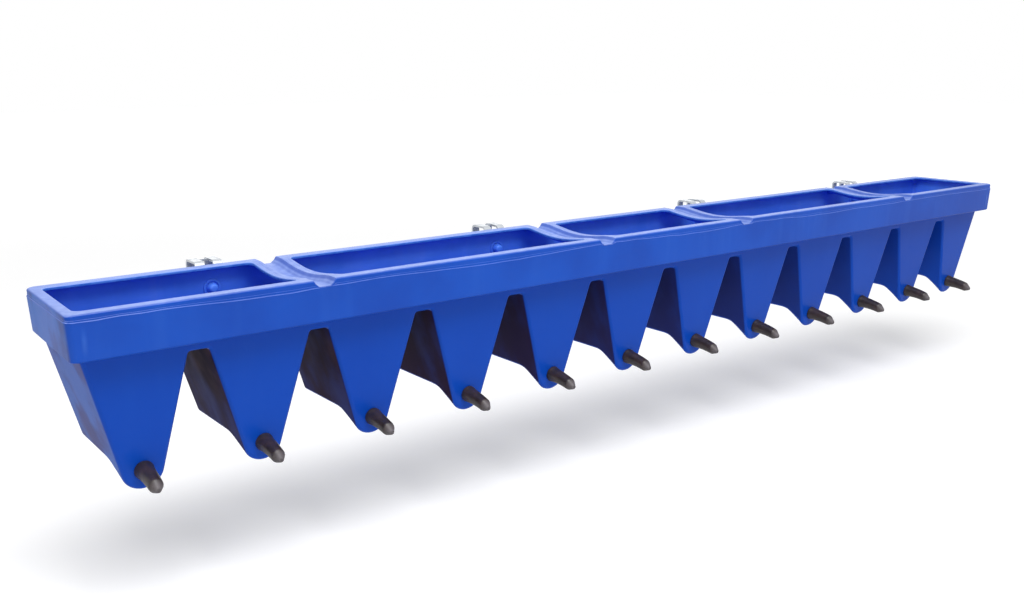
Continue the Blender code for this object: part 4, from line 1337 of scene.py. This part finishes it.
def split_colour(tree, colour):
    """Red, green and blue of a colour."""
    node = tree.nodes.new('ShaderNodeSeparateColor')
    feed(tree, node.inputs[0], colour)
    return node.outputs


def galvanised():
    """Grey zinc with a faint spangle, white bloom in patches and bright rubbed edges."""
    material, tree, shader = new_material("galvanised_plate", 0.42, metallic=0.75)
    spangle = tree.nodes.new('ShaderNodeTexVoronoi')
    feed(tree, spangle.inputs['Vector'], tree.nodes.new('ShaderNodeTexCoord').outputs['Object'])
    spangle.inputs['Scale'].default_value = 130
    crystal = times(tree, split_colour(tree, spangle.outputs['Color'])[0], 0.45)
    colour = tinted(tree, crystal, ZINC_GREY, ZINC_DARK)
    bloom = ramped(tree, grain(tree, 38.0, 5), 0.48, 0.72)
    bloom = times(tree, bloom, 0.55)
    colour = tinted(tree, bloom, colour, ZINC_WHITE)
    worn = placed(tree, worn_edges, radius=0.0012, amount=0.6, breakup_scale=110.0)
    feed(tree, shader["Base Color"], tinted(tree, worn, colour, ZINC_WHITE))
    rough = scaled(tree, bloom, 0.45, scaled(tree, crystal, 0.4, 0.26))
    feed(tree, shader["Roughness"], rough)
    height = placed(tree, skin_relief, wave_height=0.00015, wave_scale=60.0,
                    skin_height=0.00002, skin_scale=900.0)
    scratched = placed(tree, fine_scratches, scale=500.0, amount=0.5)
    bumped(tree, shader, scaled(tree, scratched, -0.00003, height))
    return material


zinc_plate = galvanised()
hanger = add_piece("hanger", folded_plate(), zinc_plate)
corners, cuts = hanger_cutters()
for tool, operation in ((corners, 'INTERSECT'), (cuts, 'DIFFERENCE')):
    tool.data.materials.append(zinc_plate)
    combine(hanger, tool, operation)
apply_modifiers(hanger, corners, cuts)
softened = hanger.modifiers.new("softened_edges", 'BEVEL')
softened.width = HANGER_EDGE
softened.segments = 3
softened.angle_limit = math.radians(40)
apply_modifiers(hanger)
shade(hanger, 50)
for number in range(1, HANGER_COUNT + 1):
    place = Matrix.Translation((bolt_place(number).translation.x, 0, 0))
    fit_copy(hanger, f"gate_hanger_{number}", place, "feeder",
             f"hanger_hook_{number}")
bpy.data.objects.remove(hanger, do_unlink=True)

# Washers and bolts: M10 hexagon bolts, zinc plated, each with one flat washer, screwed through a
# hanger into its insert. The thread is rolled and the head forged, with a turned washer face.
BRIGHT_ZINC = (0.68, 0.69, 0.70)
YELLOW_ZINC = (0.60, 0.55, 0.42)
DULL_ZINC = (0.40, 0.41, 0.42)
WASHER_RADIUS = 0.0105
WASHER_THICK = 0.002
BOLT_REACH = 0.013
HEAD_FLATS = 0.016
HEAD_HEIGHT = 0.0064
HEAD_FACE = 0.0005              # turned face under the head
HEAD_EDGE = 0.00015
HEAD_CHAMFER = 0.0010
HEAD_CHAMFER_STEPS = 14
BOLT_HEAD_STEPS = 72
THREAD_DEPTH = 0.0008
THREAD_LEAD = 0.0012            # plain tip before the thread
THREAD_END = 0.0006             # plain shank after it
PLATE_OUT = GAP + HANGER_THICK
WASHER_OUT = PLATE_OUT + GAP + WASHER_THICK
HEAD_IN = WASHER_OUT + GAP
HEAD_OUT = HEAD_IN + HEAD_HEIGHT


def washer_mesh():
    hole = BOLT_RADIUS + HOLE_CLEARANCE
    low = PLATE_OUT + GAP
    builder = bmesh.new()
    revolve(builder, turned([(hole, low, 0.0003), (WASHER_RADIUS, low, 0.0002),
                             (WASHER_RADIUS, WASHER_OUT, 0.0006), (hole, WASHER_OUT, 0.0004)], 3), 48)
    return builder


def bolt_mesh():
    """Turned all in one: thread, shank, face and head, whose skin is then drawn in to a hexagon."""
    flats = HEAD_FLATS / 2
    corner = flats / math.cos(math.pi / 6)
    top = flats * 0.95
    tip = -BOLT_REACH
    rows = thread_heights(tip + THREAD_LEAD, -THREAD_END)
    shank = [(0, tip), (BOLT_RADIUS - THREAD_DEPTH, tip)] + [(BOLT_RADIUS, z) for z in rows]
    shank += [(BOLT_RADIUS, 0), (BOLT_RADIUS, HEAD_IN)]
    under = HEAD_IN + HEAD_FACE
    face_radius = flats * 0.96
    face = [(flats * 0.94, HEAD_IN), (face_radius, HEAD_IN + 0.0001), (face_radius, under)]
    side = [(corner, under + 0.0001), (corner, under + 0.0003)]
    side += [(corner, HEAD_OUT - HEAD_CHAMFER * (1 - i / HEAD_CHAMFER_STEPS))
             for i in range(HEAD_CHAMFER_STEPS + 1)]
    builder = bmesh.new()
    revolve(builder, shank + face + side + [(top - 0.0006, HEAD_OUT), (0, HEAD_OUT)], BOLT_HEAD_STEPS)
    for vert in builder.verts:
        radius = vert.co.xy.length
        if vert.co.z < -0.0003 and radius > BOLT_RADIUS - 0.0001:
            widen(vert, -THREAD_DEPTH * (1 - thread_crest(vert.co)))
        if radius > flats and vert.co.z > HEAD_IN:
            turn = math.atan2(vert.co.y, vert.co.x) % (math.pi / 3) - math.pi / 6
            hexagon = flats / math.cos(turn) - HEAD_EDGE * (abs(turn) > math.pi / 6 - 0.01)
            cone = top + (HEAD_OUT - vert.co.z) * math.tan(math.radians(60))
            eased = HEAD_EDGE * (vert.co.z < under + 0.0002)
            widen(vert, min(hexagon - eased, cone) - radius)
    return builder


def plated():
    """Bright zinc with a trace of yellow and a duller bloom."""
    material, tree, shader = new_material("zinc_plated", 0.3, metallic=1)
    colour = placed(tree, uneven_colour, colour=BRIGHT_ZINC, cloud_colour=YELLOW_ZINC,
                    scale=110.0, amount=0.5)
    dull = ramped(tree, grain(tree, 190.0, 5), 0.50, 0.75)
    colour = tinted(tree, times(tree, dull, 0.6), colour, DULL_ZINC)
    worn = placed(tree, worn_edges, radius=0.0006, amount=0.7, breakup_scale=260.0)
    feed(tree, shader["Base Color"], tinted(tree, worn, colour, BRIGHT_ZINC))
    feed(tree, shader["Roughness"], scaled(tree, dull, 0.35, 0.22))
    bumped(tree, shader, placed(tree, skin_relief, wave_height=0.00003, wave_scale=150.0,
                                skin_height=0.000008, skin_scale=1600.0))
    return material


zinc_plated = plated()
washer = add_piece("washer", washer_mesh(), zinc_plated)
shade(washer, 50)
bolt = add_piece("bolt", bolt_mesh(), zinc_plated)
shade(bolt, 32)
for number in range(1, HANGER_COUNT + 1):
    fit_copy(washer, f"plain_washer_{number}", bolt_place(number), "feeder",
             f"hanger_washer_{number}")
    tightened = bolt_place(number) @ Matrix.Rotation(0.4 * number, 4, 'Z')
    fit_copy(bolt, f"hexagon_bolt_{number}", tightened, "feeder", f"hanger_bolt_{number}")
bpy.data.objects.remove(washer, do_unlink=True)
bpy.data.objects.remove(bolt, do_unlink=True)

# Studio: a pale floor well below the trough, which hangs as it would on a gate, an even pale sky,
# one soft light over the front and one low and wide behind that skims the rims.
FLOOR_DROP = 0.25
AMBIENT = 0.52
FLOOR_GLOW = 0.24               # near the trough, where the lights reach the floor
FAR_GLOW = 0.56
floor_mesh = bmesh.new()
bmesh.ops.create_grid(floor_mesh, x_segments=1, y_segments=1, size=20)
floor_paint, tree, shader = new_material("floor_paint", 0.9, specular=0.1)
shader["Base Color"].default_value = (0.82, 0.82, 0.82, 1)
shader["Emission Color"].default_value = (1, 1, 1, 1)


def seen_directly(tree):
    """1 for the camera, for reflections and through glass, 0 for light that falls on things."""
    path = tree.nodes.new('ShaderNodeLightPath').outputs
    return highest(tree, path['Is Camera Ray'], path['Is Glossy Ray'], path['Is Transmission Ray'])


reach = tree.nodes.new('ShaderNodeVectorMath')
reach.operation = 'LENGTH'
feed(tree, reach.inputs[0], tree.nodes.new('ShaderNodeTexCoord').outputs['Object'])
far = ramped(tree, reach.outputs['Value'], 1.5, 9.0)
glow = scaled(tree, far, FAR_GLOW - FLOOR_GLOW, FLOOR_GLOW)
feed(tree, shader["Emission Strength"], times(tree, seen_directly(tree), glow))
floor = add_piece("floor", floor_mesh, floor_paint)
floor.location.z = shell_low.z - FLOOR_DROP

world = bpy.data.worlds.new("studio")
bpy.context.scene.world = world
world.use_nodes = True
background = world.node_tree.nodes["Background"].inputs
background["Color"].default_value = (1, 1, 1, 1)
seen = scaled(world.node_tree, seen_directly(world.node_tree), 1 - AMBIENT, AMBIENT)
feed(world.node_tree, background["Strength"], seen)


def soft_light(name, width, height, power, place, aim):
    """Soft panel that points at a place and isn't seen itself."""
    data = bpy.data.lights.new(name, 'AREA')
    data.shape = 'RECTANGLE'
    data.size = width
    data.size_y = height
    data.energy = power
    panel = bpy.data.objects.new(name, data)
    bpy.context.scene.collection.objects.link(panel)
    towards = (Vector(aim) - Vector(place)).to_track_quat('-Z', 'Y')
    panel.matrix_world = Matrix.Translation(place) @ towards.to_matrix().to_4x4()
    panel.visible_camera = False


soft_light("front_light", 4.0, 2.5, 270, (-1.2, -2.3, 4.4), (0, -0.2, -0.1))
soft_light("rim_light", 9.0, 1.6, 50, (4.2, 6.0, 1.9), (0, 0, 0))

camera_data = bpy.data.cameras.new("photo_view")
camera = bpy.data.objects.new("photo_view", camera_data)
bpy.context.scene.collection.objects.link(camera)
bpy.context.scene.camera = camera
CAMERA_PLACE = (-1.893, -2.1385, 0.4277)
YAW = 0.6406
PITCH_DOWN = 0.2333
ROLL = -0.0043
forward = Vector((math.sin(YAW) * math.cos(PITCH_DOWN), math.cos(YAW) * math.cos(PITCH_DOWN),
                  -math.sin(PITCH_DOWN)))
level = Vector((math.cos(YAW), -math.sin(YAW), 0))
upright = level.cross(forward)
right = level * math.cos(ROLL) + upright * math.sin(ROLL)
up = upright * math.cos(ROLL) - level * math.sin(ROLL)
facing = Matrix((right, up, -forward)).transposed().to_4x4()
camera.matrix_world = Matrix.Translation(CAMERA_PLACE) @ facing
camera_data.sensor_width = 36
camera_data.lens = 36.156
camera_data.clip_end = 100

bpy.context.scene.view_settings.view_transform = 'Standard'
